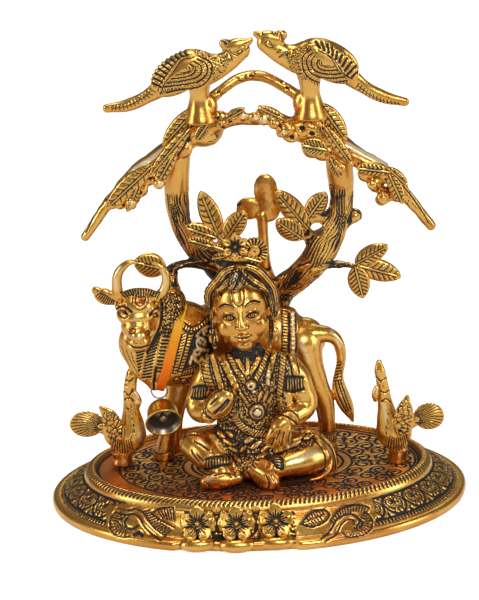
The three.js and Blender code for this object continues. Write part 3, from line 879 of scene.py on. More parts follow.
def half_depth_at(a):
    share = (a - PLATFORM_HALF_WIDTH) / (BASE_HALF_WIDTH - PLATFORM_HALF_WIDTH)
    outer = PLATFORM_HALF_DEPTH + share * (BASE_HALF_DEPTH - PLATFORM_HALF_DEPTH)
    return np.where(a <= PLATFORM_HALF_WIDTH, a * PLATFORM_HALF_DEPTH / PLATFORM_HALF_WIDTH, outer)


RING_ROWS = 62
RING_COLUMNS = 1040
INSIDE_THE_BOX = 0.9996
FLOWER_BAY = 2.2


def ring_profile():
    """The line from the rim's inner edge, over the rim and down the skirt to its foot."""
    w, p = BASE_HALF_WIDTH, PLATFORM_HALF_WIDTH
    return [
        [p - 7.0, FLOOR_LEVEL - 1.5],
        [p - 4.4, FLOOR_LEVEL - 0.4],
        [p - 3.8, RIM_TOP - 0.4],
        [p - 2.8, RIM_TOP],
        [p - 1.2, RIM_TOP - 0.5],
        [p + 0.1, RIM_TOP - 1.8],
        [p + 0.8, SKIRT_TOP + 1.0],
        [p + 1.3, SKIRT_TOP - 0.2],
        [w - 8.0, SKIRT_MIDDLE],
        [w - 4.2, SKIRT_FOOT + 0.2],
        [w - 3.2, SKIRT_FOOT + 0.1],
        [w - 0.9, SKIRT_FOOT - 0.2],
        [w, 2.4],
        [w - 0.5, 0.2],
        [w - 1.2, 0.0],
    ]


def base_ring():
    """The stepped base, closed under the floor plate and at its foot. The skirt steps back behind
    the flowers."""
    w, p = BASE_HALF_WIDTH, PLATFORM_HALF_WIDTH
    line = spaced(curve(ring_profile(), 8), RING_ROWS)
    line[-1, 1] = 0.0
    inner = np.array([[0.0, FLOOR_LEVEL - 2.0], [p - 7.0, FLOOR_LEVEL - 2.0]])
    line = np.vstack([inner, line, [[w - 14, 0.0], [0.0, 0.0]]])
    bearing = np.linspace(0, 2 * np.pi, RING_COLUMNS, endpoint=False)
    a = line[:, 0]
    grid = np.empty((RING_COLUMNS, len(line), 3))
    grid[..., 0] = np.sin(bearing)[:, None] * a
    grid[..., 1] = -np.cos(bearing)[:, None] * half_depth_at(a)
    grid[..., 2] = line[:, 1]
    near_flowers = smoothstep((28 - np.abs(grid[..., 0] - FLOWERS_MIDDLE)) / 5) * (grid[..., 1] < 0)
    grid[..., 1] += FLOWER_BAY * near_flowers * smoothstep((a - w + 6) / 4)
    piece = grid_piece("base", grid * [INSIDE_THE_BOX, INSIDE_THE_BOX, 1], wrap_rows=True)
    face_outwards(piece)
    return piece


def lie_of(skin):
    """For each point of the base: the half width of the oval that it lies on, and the length round."""
    x, y, _ = skin.co.T
    a = np.maximum(np.hypot(x, y * BASE_HALF_WIDTH / BASE_HALF_DEPTH), 1.0)
    for _ in range(8):
        a = np.maximum(a * np.hypot(x / a, y / half_depth_at(a)), 1.0)
    bearing = np.arctan2(x / a, -y / half_depth_at(a))
    ring = np.linspace(-np.pi, np.pi, 2001)
    mid = (BASE_HALF_WIDTH + PLATFORM_HALF_WIDTH) / 2
    step = np.hypot(np.diff(np.sin(ring) * mid), np.diff(np.cos(ring) * half_depth_at(np.array(mid))))
    round_length = np.concatenate([[0], np.cumsum(step)])
    return a, np.interp(bearing, ring, round_length), round_length[-1]


def base_relief(piece):
    skin = Skin(piece)
    a, s, total = lie_of(skin)
    z = skin.co[:, 2]
    w, p = BASE_HALF_WIDTH, PLATFORM_HALF_WIDTH
    above_foot = z > 3.0
    notched = above_foot & (a > w - 4.8) & (a < w - 3.0)
    skin.sink(stripes(s, 1.6, 0.36) * notched, 0.35, 1.2)
    roped = (a > p - 3.2) & (a < p + 0.5) & (z > RIM_TOP - 1.75)
    skin.sink(stripes(s + 0.6 * (a - p), 2.25, 0.46, 1.5) * roped, 0.4, 1.35)
    plane = np.stack([s, (a - p) * SKIRT_STRETCH], 1)
    skin.draw_on(plane, above_foot & (a > p + 0.9) & (a < w - 3.6))
    skirt_scrolls(skin, total)
    skin.draw_on(skin.seen, skin.front)
    for edge in (p + 1.3, w - 5.2):
        fall = smoothstep(1.5 - np.abs(a - edge) / 0.3) * above_foot * (z < RIM_TOP - 2.4)
        skin.sink(fall, 0.3, 1.2)
    flank_ornaments(skin)
    skin.warm += 0.35 * skin.clouds(14)
    return skin.finish(cavity=0.6, wear=0.2)


SCROLL_UNITS = 38


CURL = np.array([(0.12, 0.72), (0.5, 0.7), (0.66, 0.44), (0.46, 0.22), (0.18, 0.3), (0.18, 0.5),
    (0.4, 0.5), (0.4, 0.4)])
SCROLL_LINES = [
    (oval((0, 0.5), 0.93, 0.48, 25, -np.pi / 2), 0.62),
    (CURL, 0.42),
    (CURL * [-1, 1], 0.42),
    (np.array([(0, 0.14), (0, 0.6)]), 0.42),
    (np.array([(0, 0.76), (0, 0.94)]), 0.42),
    (np.array([(0.3, 0.78), (0.42, 0.88)]), 0.4),
    (np.array([(-0.3, 0.78), (-0.42, 0.88)]), 0.4),
]
SCROLL_GAPS = [
    [(0.82, -0.04), (1.18, -0.04), (1.04, 0.2), (0.96, 0.2)],
    [(0.82, 1.04), (1.18, 1.04), (1.04, 0.8), (0.96, 0.8)],
]
SKIRT_STRETCH = 1.55


def skirt_scrolls(skin, total):
    """Flat ovals with two curls each, drawn with black lines on a map of the skirt laid flat."""
    pitch = total / SCROLL_UNITS
    top, foot = 2.0, (BASE_HALF_WIDTH - 5.4 - PLATFORM_HALF_WIDTH) * SKIRT_STRETCH
    for k in range(SCROLL_UNITS):
        middle = (k + 0.5) * pitch

        def at(points):
            return [[middle + dx * pitch / 2, top + dy * (foot - top)] for dx, dy in points]

        for gap in SCROLL_GAPS:
            hollow = skin.inside(at(gap))
            skin.dark[hollow] = 1.2
            skin.cut[hollow] = 0.5
        for line, width in SCROLL_LINES:
            skin.groove(curve(at(line)), width, 0.4)


LEFT_FLANK = [(105, 507), (122, 503), (150, 504), (184, 503), (186, 546), (160, 545), (130, 541),
    (107, 531)]
RIGHT_FLANK = [(294, 503), (330, 502), (352, 498), (372, 497), (377, 515), (373, 533), (340, 543),
    (296, 548)]
FLANK_LINES = [
    ([(115, 511.6), (126, 514.6), (134, 513.6), (139.6, 517.6), (143.4, 525.4), (151, 533), (160, 539.6)],
    1.1),
    ([(117, 507.6), (127, 510), (136, 508.6), (144, 513.6), (148.4, 521), (155.6, 529), (165, 535.4)],
    0.9),
    ([(115, 511.6), (110.4, 518), (109.6, 526), (113, 533), (121, 537), (129, 536)], 0.8),
    ([(127.6, 517), (124.4, 522), (127, 527.4), (133, 528.6), (138, 525)], 1.1),
    ([(134, 534.6), (139, 532.4), (142, 535)], 1.8),
    ([(151, 512.6), (158, 518), (166, 522.4), (174, 527)], 1.0),
    ([(151, 512.6), (160, 508.6), (173.6, 507)], 0.9),
    ([(321, 538.6), (330, 531), (336, 521), (345, 514.6), (354, 514.6), (359.6, 520), (357, 526.4)], 1.1),
    ([(326, 541), (336, 534), (341, 525), (347, 519.6), (353, 519.4), (354.6, 523.6)], 1.0),
    ([(366, 511.6), (371.4, 518), (372.4, 525), (368, 532), (360, 536.4), (349, 537), (343, 532)], 0.8),
    ([(301, 524), (310, 513), (322, 509.4), (329, 513.4), (324, 522), (312, 526.6), (301, 524)], 1.0),
    ([(303, 523), (313, 518), (324, 514)], 0.7),
    ([(331, 521), (337, 512), (346, 506), (358, 504.4), (369, 507)], 0.9),
]
FLANK_FANS = [((128, 522),
    [(119, 509.6), (112.6, 514), (109.6, 521), (110.4, 529), (115.6, 534.6), (124, 536.6)], 12),
              ((356, 523), [(366, 511.6), (371, 517), (372.4, 525), (368.6, 531.6), (360.6, 536),
              (350, 536.6)], 13)]
FLANK_LADDERS = [
    ([(141, 511.6), (147.6, 518.4), (154.6, 526.6), (165, 534)],
    [(149, 510), (155, 516), (162, 523.4), (171, 530)], 12),
    ([(158, 510.6), (165, 509.6), (173, 509)], [(163, 518.6), (169, 519), (174, 520)], 6),
    ([(331.6, 519.6), (338, 511.6), (347, 506), (358, 504.6), (369, 507.4)],
    [(334.4, 524), (341.6, 517), (348.6, 512.4), (358, 511.4), (366, 514)], 15),
    ([(306, 516), (313, 511.4), (321, 509.6)], [(309, 520.4), (316, 516.4), (324, 514)], 7),
    ([(306, 523.6), (313, 520), (320, 517)], [(310, 526), (316.4, 524.6), (323, 521)], 6),
]


def flank_ornaments(skin):
    """A curling leaf with a fan and a ribbed neck on each side of the flowers."""
    for field in (LEFT_FLANK, RIGHT_FLANK):
        skin.clear(skin.inside(field))
    for root, tips, count in FLANK_FANS:
        for tip in spaced(curve(tips), count):
            start = np.array(root) + (tip - np.array(root)) * 0.34
            skin.groove([start, tip], 0.55, 0.35)
    for *rails, count in FLANK_LADDERS:
        skin.comb(rails, count, 0.75, 0.4)
    for line, width in FLANK_LINES:
        skin.groove(curve(line), width, 0.5)


def floor_plate():
    """The engraved floor inside the rim."""
    half_w = PLATFORM_HALF_WIDTH - 4.0
    half_d = half_w * PLATFORM_HALF_DEPTH / PLATFORM_HALF_WIDTH
    across = np.arange(-half_w, half_w + FLOOR_PITCH, FLOOR_PITCH)
    deep = np.arange(-half_d, half_d + FLOOR_PITCH, FLOOR_PITCH)
    x, y = np.meshgrid(across, deep, indexing="ij")
    reach = np.hypot(x / half_w, y / half_d)
    inside = reach <= 1.0
    keep = inside[:-1, :-1] | inside[1:, :-1] | inside[:-1, 1:] | inside[1:, 1:]
    squeeze = np.where(reach > 1.0, 1.0 / reach, 1.0)
    places = np.stack([x * squeeze, y * squeeze, np.full_like(x, FLOOR_LEVEL)], -1)
    index = np.arange(x.size).reshape(x.shape)
    faces = np.stack([index[:-1, :-1], index[1:, :-1], index[1:, 1:], index[:-1, 1:]], -1)[keep]
    piece = mesh_piece("base_floor", places, faces)
    pick(piece)
    bpy.ops.object.mode_set(mode="EDIT")
    bpy.ops.mesh.delete_loose()
    bpy.ops.object.mode_set(mode="OBJECT")
    return piece


FLOOR_PITCH = 0.46
FLOOR_CENTRE = np.array([4.0, 0.0])
FLOOR_SQUASH = PLATFORM_HALF_DEPTH / PLATFORM_HALF_WIDTH
# Rows of scrolls on the floor: inner and outer half width, and how many
FLOOR_ROWS = [(37.2, 45.6, 22), (46.2, 54.2, 28), (54.8, 62.8, 32)]


def floor_oval(half_width, centre=FLOOR_CENTRE):
    return oval(centre, half_width, half_width * FLOOR_SQUASH, 90, -np.pi / 2)


def on_floor(places):
    """Floor places from half widths and degrees round the centre."""
    found = []
    for a, degrees in places:
        t = math.radians(degrees)
        found.append([FLOOR_CENTRE[0] + a * math.sin(t),
            FLOOR_CENTRE[1] - a * FLOOR_SQUASH * math.cos(t)])
    return found


def floor_scroll(skin, low, high, mid, step, way):
    """One coil, with the curved stalk, the leaf and the nick that go between it and the next."""
    reach = (high - low) / 2
    middle = np.array(on_floor([((low + high) / 2, mid)])[0])
    heading = -math.radians(mid) + way * 0.9
    across = mid + way * step * 0.5
    stalk = [(low + 0.2, across), (low + reach, across + way * step * 0.12), (high - 0.2, across)]
    leaf_line = [(low + 0.4, mid + step * 0.3), (low + 1.4, mid), (low + 0.4, mid - step * 0.3)]
    nick = [(high - 1.2, across - step * 0.16), (high - 1.9, across)]
    skin.groove(spiral(middle, reach * 0.94, heading, way), 0.62, 0.4)
    skin.groove(spiral(middle + [0.5, 0.3], 0.8, heading, way, 0.8), 0.4, 0.3)
    skin.draw([on_floor(stalk)], 0.62, 0.4)
    skin.draw([on_floor(leaf_line)], 0.4, 0.3)
    skin.groove(on_floor(nick), 0.55, 0.3)


def floor_relief(piece):
    skin = Skin(piece)
    plan = skin.co[:, :2]
    skin.draw_on(plan, np.ones(len(plan), bool))
    skin.groove(floor_oval(63.5), 0.62, 0.4)
    skin.groove(floor_oval(PLATFORM_HALF_WIDTH - 5.0, np.zeros(2)), 0.8, 0.3)
    for half_width in (30, 32.4, 36.4):
        skin.groove(floor_oval(half_width), 0.6, 0.35)
    for row, (low, high, count) in enumerate(FLOOR_ROWS):
        step = 360.0 / count
        for k in range(count):
            floor_scroll(skin, low, high, (k + 0.5 * (row % 2)) * step, step, 1 if (k + row) % 2 else -1)
    for bearing in range(0, 360, 12):
        skin.draw([on_floor([(20, bearing), (25, bearing + 4), (29.0, bearing + 1)])], 0.45, 0.3)
    reach = np.hypot(plan[:, 0] - FLOOR_CENTRE[0], (plan[:, 1] - FLOOR_CENTRE[1]) / FLOOR_SQUASH)
    ring = smoothstep((reach - 62.6) / 1.6)
    front = smoothstep((-12 - plan[:, 1]) / 16)
    skin.warm[:] = 0.24 + 0.62 * np.maximum(ring, 0.9 * front) + 0.2 * (grain(skin.co, 20, 4) - 0.5)
    return skin.finish(cavity=0.4)


def spiral(middle, radius, start, way, turns=1.4, steps=30):
    t = np.linspace(0, 1, steps)
    angle = start + way * t * turns * 2 * np.pi
    r = radius * (1 - 0.72 * t)
    return np.asarray(middle) + np.stack([r * np.cos(angle), r * np.sin(angle)], 1)


def disc(name, at, r, f, front, back, dark, lean=0):
    """A round plate: distances from its middle, angles, how far its front and back stand out, and
    the patina of its front. It faces the front and is turned back by `lean` degrees."""
    fore = np.stack([r * np.sin(f), -front, r * np.cos(f)], -1)
    rear = np.stack([r * np.sin(f), back, r * np.cos(f)], -1)[::-1]
    x, y, z = np.moveaxis(np.concatenate([fore, rear], 0), -1, 0)
    y, z = turn(y, z, lean)
    piece = grid_piece(name, np.stack([x, y, z], -1) + np.array(at, float), wrap_columns=True)
    paint(piece, np.concatenate([dark, np.zeros_like(dark)], 0))
    return piece


def spread(rings, spokes):
    """Rings from 0 to 1 by angles all round."""
    around = np.linspace(0, 2 * np.pi, spokes, endpoint=False)
    return np.meshgrid(np.linspace(0.0, 1.0, rings), around, indexing="ij")


def petal_flower(at, radius, petals, lean, dish=0.25, boss=0.2, point=0.0):
    """A flower: petals with strokes that spread from a boss in the middle, blunt or pointed."""
    t, f = spread(max(12, int(radius / 0.3)), max(48, int(2 * np.pi * radius / 0.3)))
    share = (petals * f / (2 * np.pi) + 0.5) % 1 - 0.5
    blunt = 1 - 0.4 * np.abs(2 * share) ** 3
    sharp = 1 - 0.55 * np.abs(2 * share) ** 1.1
    r = t * (radius * (blunt * (1 - point) + sharp * point))
    width = 2 * np.pi / petals
    height = dish * radius * t**1.6 + 0.16 * radius * np.cos(np.pi * share) * t
    height += 0.3 * radius * np.sqrt(smoothstep(1 - r / (boss * radius)))
    edge = r * (0.5 - np.abs(share)) * width
    gap = smoothstep(1.5 - edge / (0.075 * radius)) * (r > boss * radius * 1.1)
    strokes = np.zeros_like(r)
    for place_on_petal, end in ((-0.24, 0.55), (0.0, 0.7), (0.24, 0.55)):
        off = r * np.abs(share - place_on_petal) * width
        stroke = smoothstep(1.5 - off / (0.035 * radius)) * (t < end) * (t > boss)
        strokes = np.maximum(strokes, stroke)
    foot = smoothstep(1.3 - np.abs(r - boss * radius * 1.2) / (0.05 * radius))
    dark = np.clip(1.3 * gap + 1.2 * foot + 1.2 * strokes, 0, 1.3)
    height -= 0.07 * radius * np.minimum(dark, 1)
    return disc("flower", at, r, f, height, 0.26 * radius - 0.1 * height, dark, lean)


FLOWER_PITCH = 16.6
FLOWERS_FRONT = -57.4


def front_cluster():
    """The flowers, buds and scalloped foot at the front of the base."""
    body = []
    flowers = []
    for step in (-1, 0, 1):
        x = FLOWERS_MIDDLE + step * FLOWER_PITCH
        y = FLOWERS_FRONT + abs(step) * 1.4
        body.append(ball([x, y - 2.6 + 0.9 * (step < 0), 3.0], [8.0, 4.2, 3.4]))
        body.append(ball([x, y + 2.4, 7.4], [7.0, 3.2, 4.0]))
        flowers.append(petal_flower([x, y + 0.6, 11.0], 7.6, 5, -38, dish=0.12))
    for side in (-1, 1):
        x = FLOWERS_MIDDLE + side * FLOWER_PITCH / 2
        body.append(ball([x, -52.6, 8.4], [4.6, 3.2, 4.2]))
        flowers.append(petal_flower([x, -53.6, 13.2], 4.2, 5, -30))
    lump = clay("cluster", body, 0.5, 4)
    cut_below(lump, 0.0)
    skin = Skin(lump)
    skin.draw_on(skin.co[:, [0, 2]], skin.front)
    for step in (-1, 0, 1):
        x = FLOWERS_MIDDLE + step * FLOWER_PITCH
        skin.groove([[x - 8.3, 0], [x - 8.3, 12]], 1.0, 0.5)
        skin.groove([[x - 8, 6.7], [x + 8, 6.7]], 0.8, 0.4)
        skin.groove([[x + 8.3, 0], [x + 8.3, 12]], 1.0, 0.5)
    skin.finish()
    return join("base_flowers", [lump, *flowers])


def make_base():
    dress(base_relief(base_ring()), GOLD, "antique_gold", "base")
    dress(floor_relief(floor_plate()), FLOOR_GOLD, "antique_gold")
    dress(front_cluster(), GOLD, "antique_gold")


make_base()

# The tree

# Leaves of the tree, in the picture: base, tip, width, and their y in millimetres
TREE_LEAVES = [
    ((308, 229), (276, 191), 22, 15.0), ((303, 239), (276, 221), 22, 14.4),
    ((307, 219), (326, 193), 20, 15.6),
    ((220, 239), (200.4, 192), 21, 15.0), ((225, 241), (245, 211), 21, 14.6),
    ((217, 238), (183, 227), 18, 14.2),
    ((213, 247), (188, 240), 15, 14.0), ((226, 250), (241, 238), 12, 12.0),
    ((355, 264), (388, 246), 19, 17.5),
    ((356, 265), (401, 277), 23, 18.0), ((355, 267), (363, 298), 22, 17.0),
    ((166, 270), (134, 262), 26, 13.5),
]
# Stems of the leaves, in the picture: across, down, radius and y
LEAF_STEMS = [
    [(322, 252, 5, 18), (314, 242, 4, 17.4), (308, 230, 3.4, 17), (303, 223, 2.4, 17)],
    [(310, 232, 3.4, 17), (309, 222, 4.6, 17), (311, 213, 4.2, 17), (316, 205, 2.4, 17)],
    [(309, 240, 3.6, 16.6), (300, 236, 2.4, 16)],
    [(316, 214, 6, 17.4), (323, 214, 6, 17.4), (329, 222, 5, 17)],
    [(213, 264, 5, 19), (219, 252, 4.6, 17), (221, 242, 3.8, 16.4), (218, 234, 2.6, 16.4)],
    [(221, 246, 3.6, 16), (227, 238, 2.6, 16)],
    [(221, 250, 4, 16), (211, 243, 3, 15.6), (204, 238, 2, 15.6)],
]

TREE_EYE = [29, 18, 115]
TRUNK = [
    [9, 35, 12, 8.6], [9, 35, 20, 5.8], [9, 34.6, 44, 5.4], [9, 34, 66, 5.4], [12.4, 29.8, 81, 6],
    [21, 22, 91.4, 6], [27.6, 20, 99, 6.4], [31.6, 19, 106, 6.9], [36.4, 18, 115, 5.9],
    [39.6, 16.6, 124, 5.2], [40.1, 14, 134, 5.4], [39.6, 11.4, 144, 5.7], [38.8, 10, 153, 5.2],
]
LEFT_LIMB = [
    [9, 31, 76, 5], [-5, 28, 83.6, 5.8], [-11.5, 25, 91.5, 5.2], [-16.5, 22, 98.5, 5],
    [-21.4, 20, 105, 5.2], [-26.2, 18.6, 113, 5.0], [-28.9, 17.4, 121, 4.7],
    [-29.8, 15, 131, 5.3], [-29.4, 12.4, 141, 5.3], [-28, 10.6, 153, 5],
]
TWIG_RIGHT = [[28, 20, 97.5, 3.2], [35, 20, 97, 2.2], [42, 20, 96.4, 1.7], [46, 19, 95.4, 1.4]]
TWIG_LEFT = [[-13, 21, 96, 3.4], [-19, 20, 98.8, 2.6], [-26, 19, 100.4, 2.2], [-33, 17.6, 99.4, 2.2],
    [-37.4, 15.4, 97.8, 1.6]]


def tree_wood():
    return [
        limb(TRUNK), limb(LEFT_LIMB), limb(TWIG_RIGHT), limb(TWIG_LEFT),
        limb([[33, 18, 112, 4], [41, 17, 117.6, 3.4], [45.6, 17, 120, 3.1]]),
        limb([[-32.6, 17.6, 99.6, 2.2], [-33.4, 15, 94.6, 2.4], [-32.4, 11.6, 90.6, 2.8]]),
        limb([[8, 27, 86, 3.4], [6, 24, 96, 3], [6, 24, 110, 2.3], [5.8, 24, 119, 2.6]]),
        limb([[28.4, 19.4, 103, 3], [26, 18.6, 109, 2.6], [24.6, 18, 114, 1.8]]),
        limb([[-19, 21, 100, 3], [-14.6, 18.6, 106, 2.6]]),
        ball([7.8, 24, 130.6], [5.2, 1.7, 7.4]),
        ball([0.4, 24, 122.4], [5.8, 1.7, 5.2]),
        ball([8.4, 24, 122], [5.6, 1.7, 6.2]),
        *[limb(spots(17, stem), 0.7) for stem in LEAF_STEMS],
        ball(TREE_EYE, [6.4, 2.6, 7.0]),
    ]


def along(places, stations):
    """For each place: the length along the nearest limb, the angle round it and the distance."""
    line = np.array(stations, float)[:, :3]
    length, point, far = nearest(places, line)
    tangent = np.gradient(line, axis=0)
    tangent /= np.linalg.norm(tangent, axis=1)[:, None]
    steps = mileage(line)
    way = np.stack([np.interp(length, steps, tangent[:, k]) for k in range(3)], 1)
    side = np.cross([0.0, 1.0, 0.0], way)
    side /= np.maximum(np.linalg.norm(side, axis=1), 1e-6)[:, None]
    top = np.cross(way, side)
    out = places - point
    return length, np.arctan2((out * top).sum(1), (out * side).sum(1)), far


BARK_PITCH = 1.35


def bark(skin, limbs):
    """Long wavy grooves that run along the limbs: 1 where they are deepest."""
    best = np.full(len(skin.co), 1e9)
    length, angle = np.zeros((2, len(skin.co)))
    for stations in limbs:
        s, a, far = along(skin.co, stations)
        nearer = far < best
        best[nearer], length[nearer], angle[nearer] = far[nearer], s[nearer], a[nearer]
    girth = np.maximum(best, 2.0)

    def walk(stride, swing):
        return np.stack([length / stride, np.cos(angle) * swing, np.sin(angle) * swing], 1)

    long_walk = walk(11, 1.4)
    sway = 3.4 * (grain(long_walk, 1.0, 3) - 0.5) + 1.2 * (grain(long_walk, 0.4, 4) - 0.5)
    turns = np.round(2 * np.pi * 5.4 / BARK_PITCH)
    phase = (angle / (2 * np.pi) * turns + sway) % 1
    opening = grain(walk(5, 2.2), 1.0, 9)
    gap = np.abs(phase - 0.5) * 2 * np.pi * girth / turns
    width = 0.2 + 0.42 * smoothstep((opening - 0.3) / 0.4)
    return smoothstep(1.5 - gap / width) * smoothstep((opening - 0.06) / 0.2)


KNOTS = [((292, 286), (9, 4)), ((286, 298), (6, 3)), ((330, 192), (4, 7))]


def drill(wood, at, radius):
    """A round hole from front to back."""
    turned_back = (math.pi / 2, 0, 0)
    bpy.ops.mesh.primitive_cylinder_add(
        vertices=48, radius=radius * MM, depth=30 * MM, location=[c * MM for c in at], rotation=turned_back
    )
    bit = bpy.context.object
    pick(wood)
    hole = wood.modifiers.new("eye", "BOOLEAN")
    hole.object = bit
    hole.solver = "MANIFOLD"
    bpy.ops.object.modifier_apply(modifier=hole.name)
    bpy.data.objects.remove(bit)


def make_tree():
    wood = clay("tree", tree_wood(), 0.43, 3)
    cut_below(wood, ON_FLOOR)
    drill(wood, TREE_EYE, 2.8)
    skin = Skin(wood)
    x, y, z = skin.co.T
    leafy = (z > 96) & (z < 139) & (np.abs(x - 5) < 8) & (y > 21)
    rough = leafy & (z > 115)
    fall = bark(skin, [TRUNK, LEFT_LIMB, TWIG_RIGHT, TWIG_LEFT])
    fall = fall * (1 - smoothstep((z - 133) / 5)) * ~leafy
    skin.sink(fall, 0.5, 1.0)
    skin.warm[leafy] = 0.1 + 0.3 * smoothstep((grain(skin.co[leafy], 5, 8) - 0.35) / 0.3)
    skin.rise[rough] = 0.22 * (grain(skin.co[rough], 1.1, 5) - 0.5)
    skin.dark[rough] = 0.5 * smoothstep((grain(skin.co[rough], 0.8, 6) - 0.62) / 0.2)
    skin.warm += 0.5 * skin.clouds(16, 0.45, 0.25) * ~leafy
    for middle, (wide, high) in KNOTS:
        for size in (1.0, 0.55):
            skin.groove(oval(middle, wide * size, high * size, 20), 0.8, 0.4)
    rim = np.hypot(x - TREE_EYE[0], z - TREE_EYE[2])
    skin.cut[rim < 3.4] = 0.0
    skin.dark[rim < 3.3] = 0.9
    skin.finish(cavity=0.8)
    leaves = [picture_leaf(*sizes) for sizes in TREE_LEAVES]
    dress(join("tree", [wood, *leaves]), GOLD, "antique_gold", "tree")


make_tree()

# The canopy

HUB_LEFT = [-17.4, 6, 165]
HUB_RIGHT = [27, 6, 164.6]


# Lumps on the canopy, in millimetres: x, y, z and radius
LUMPS = [
    [-28.5, 4, 163, 4.7], [-25.5, 3, 157.5, 3.9], [-33, 3, 152, 3.5], [-36.5, 3, 144, 3.2],
    [-41.5, 3, 144.5, 2.8], [-45, 2, 140.5, 3.7], [-48, 2, 137, 3.5], [-53, 2, 135.5, 3.5],
    [-57, 2, 135, 2.8], [38, 5, 164.5, 4.3], [28, 4, 155.5, 4.3], [32.5, 4, 154, 4.3],
    [50.5, 3, 143.5, 3.7], [54.5, 3, 139, 3.9], [59, 2, 134.5, 3.9], [63.5, 2, 134.5, 4.1],
    [56.5, 2, 132, 2.6], [-10, 1.4, 172, 3.3], [-3.5, 1, 172.8, 3.2], [8.6, 1, 172.8, 3.4],
    [19.6, 0.6, 163.4, 4],
]


def canopy_lumps():
    lumps = [ball([x, y, z], [r, r * 0.62, r * 0.9], [0, 35 if x > 5 else -35, 0]) for x, y, z,
        r in LUMPS]
    smooth = [spots(0, [(u, v, r, y + 1.2)])[0] for u, v, r, y in SMOOTH_LOBES]
    return lumps + [ball(at, [r, r * 0.7, r]) for *at, r in smooth]


def canopy_arms():
    return [
        ball(HUB_LEFT, [9, 7.2, 7.2]), ball(HUB_RIGHT, [9, 7.2, 7.2]),
        limb([[-19, 7, 165, 6], [-24, 7.6, 161.6, 5.7], [-29, 7.6, 157.5, 5.2], [-37, 6, 152.5, 4.6],
              [-45.5, 4, 147.6, 4.0], [-54, 3, 140, 2.8], [-60.5, 2.7, 132.5, 2.4], [-65, 2.3, 126, 2.2],
              [-69, 2, 120.5, 1.9]]),
        limb([[28.6, 7, 165, 6], [33, 7.6, 161.4, 5.7], [37.4, 8, 157.6, 5.2], [45.2, 6, 151.6, 4.5],
              [54, 4, 146.8, 3.9], [62, 3, 140.3, 3], [68.4, 2.6, 132, 2.6], [73, 2.2, 126, 2.4],
              [77.4, 2, 119.8, 2.1]]),
        limb([[-16, 3, 165.6, 4.2], [-9.6, 2, 169.6, 3.5], [-3, 2, 171, 3], [4, 2, 170.4, 2.6],
              [11, 2, 171, 3.4], [17.6, 3, 167.4, 3.8], [23, 3.4, 165.4, 4.2]]),
        limb([[-14.6, 10.6, 164, 3.2], [-14.4, 12, 174.6, 2.7], [-9.4, 13, 179.6, 2.3], [4, 16, 185, 2.3],
              [18.4, 13, 179.8, 2.3], [24, 12, 174.6, 2.7], [24.4, 10.6, 164, 3.2]]),
    ]


# Leaf plates on the canopy, in the picture: base, tip, width, and their y in millimetres
CANOPY_LEAVES = [
    ((197, 108), (163, 146), 18, 0.5), ((190, 128), (149, 177), 13, -2.0),
    ((152, 166), (106, 209), 20, -1.6),
    ((176, 150), (155, 188), 13, -2.0), ((138, 186), (127, 212), 12, -1.8),
    ((320, 104), (346, 141), 20, 1.0),
    ((324, 126), (353, 167), 12, -2.0), ((327, 150), (301, 145), 20, -2.0),
    ((390, 172), (356, 168), 15, -1.4),
    ((389, 174), (403, 204), 14, -1.8), ((388, 168), (408, 186), 10, -1.4),
    ((226, 120), (245, 109), 10, -1.5),
    ((285, 120), (258, 107), 10, -1.5), ((208, 124), (196, 141), 12, -2.4),
    ((330, 158), (341, 178), 12, -2.4),
]
SMOOTH_LOBES = [
    (131, 204, 6, -3.4), (159, 184, 5.5, -3.4), (372, 185, 5, -2.4), (383, 198, 7, -2.4),
    (340, 168, 6, -3.4),
    (243, 116, 5, -1.5), (254, 117, 5.5, -1.5), (264, 120, 5.5, -1.5), (274, 124, 5.5, -2),
    (233, 120, 5, -1.5),
    (221, 126, 5, -2), (288, 130, 7, -3), (281, 133, 5, -3),
]
BLACK_PITS = [
    (134, 173, 3.2), (150, 178, 3.0), (187, 140, 3.4), (174, 168, 3.0), (162, 176, 3.0), (139, 193, 4.0),
    (106, 199, 1.8),
    (124, 206, 2.2), (223, 128, 3.0), (230, 122, 2.2), (302, 128, 3.6), (312, 134, 3.6), (292, 138, 3.4),
    (335, 172, 3.0),
    (162, 144, 0.8), (386, 180, 2.0), (378, 168, 2.0), (251, 76, 2.0), (287, 88, 2.4), (272, 88, 1.6),
    (218, 92, 2.0),
]
RIDGE_LINES = [
    [(205, 124), (186, 138), (165, 150), (135, 170)], [(318, 122), (335, 140), (352, 148), (385, 165)],
    [(284, 124), (296, 120), (308, 124), (318, 136)], [(285, 132), (300, 124), (314, 128), (322, 140)],
]
FOLD_LINES = [
    [(196, 117), (180, 128), (168, 141)], [(200, 121), (186, 131), (172, 144)],
    [(190, 112), (176, 124), (166, 136)],
    [(184, 135), (173, 152), (160, 169)], [(190, 136), (180, 152), (170, 166)],
    [(324, 132), (338, 150), (352, 165)],
    [(320, 112), (332, 124), (343, 136)], [(327, 110), (338, 122), (345, 134)],
    [(322, 128), (342, 148), (366, 160)],
    [(124, 178), (118, 188), (112, 200)], [(130, 180), (124, 194), (116, 206)],
    [(142, 182), (132, 190), (122, 202)],
    [(392, 172), (402, 184), (416, 202), (428, 222)], [(98, 206), (92, 218), (86, 232)],
    [(110, 190), (102, 202), (94, 214)],
]


# Painted highlights on the canopy, in the picture: points or lines and their radius
CANOPY_HIGHLIGHTS = [
    ([(132, 172), (150, 160), (168, 147)], 5), ([(334, 138), (356, 150), (384, 164)], 5), ((160, 184), 4),
    ((131, 203), 4), ((243, 116), 4), ((256, 118), 4), ((264, 120), 4), ((284, 133), 4), ((110, 205), 3),
    ((92, 222), 3), ((188, 142), 4),
]
RUBBED_BARE = [
    [(128, 172), (150, 150), (168, 138), (176, 146), (150, 166), (136, 174)],
    [(330, 134), (360, 146), (386, 162), (380, 168), (350, 160), (332, 146)],
]


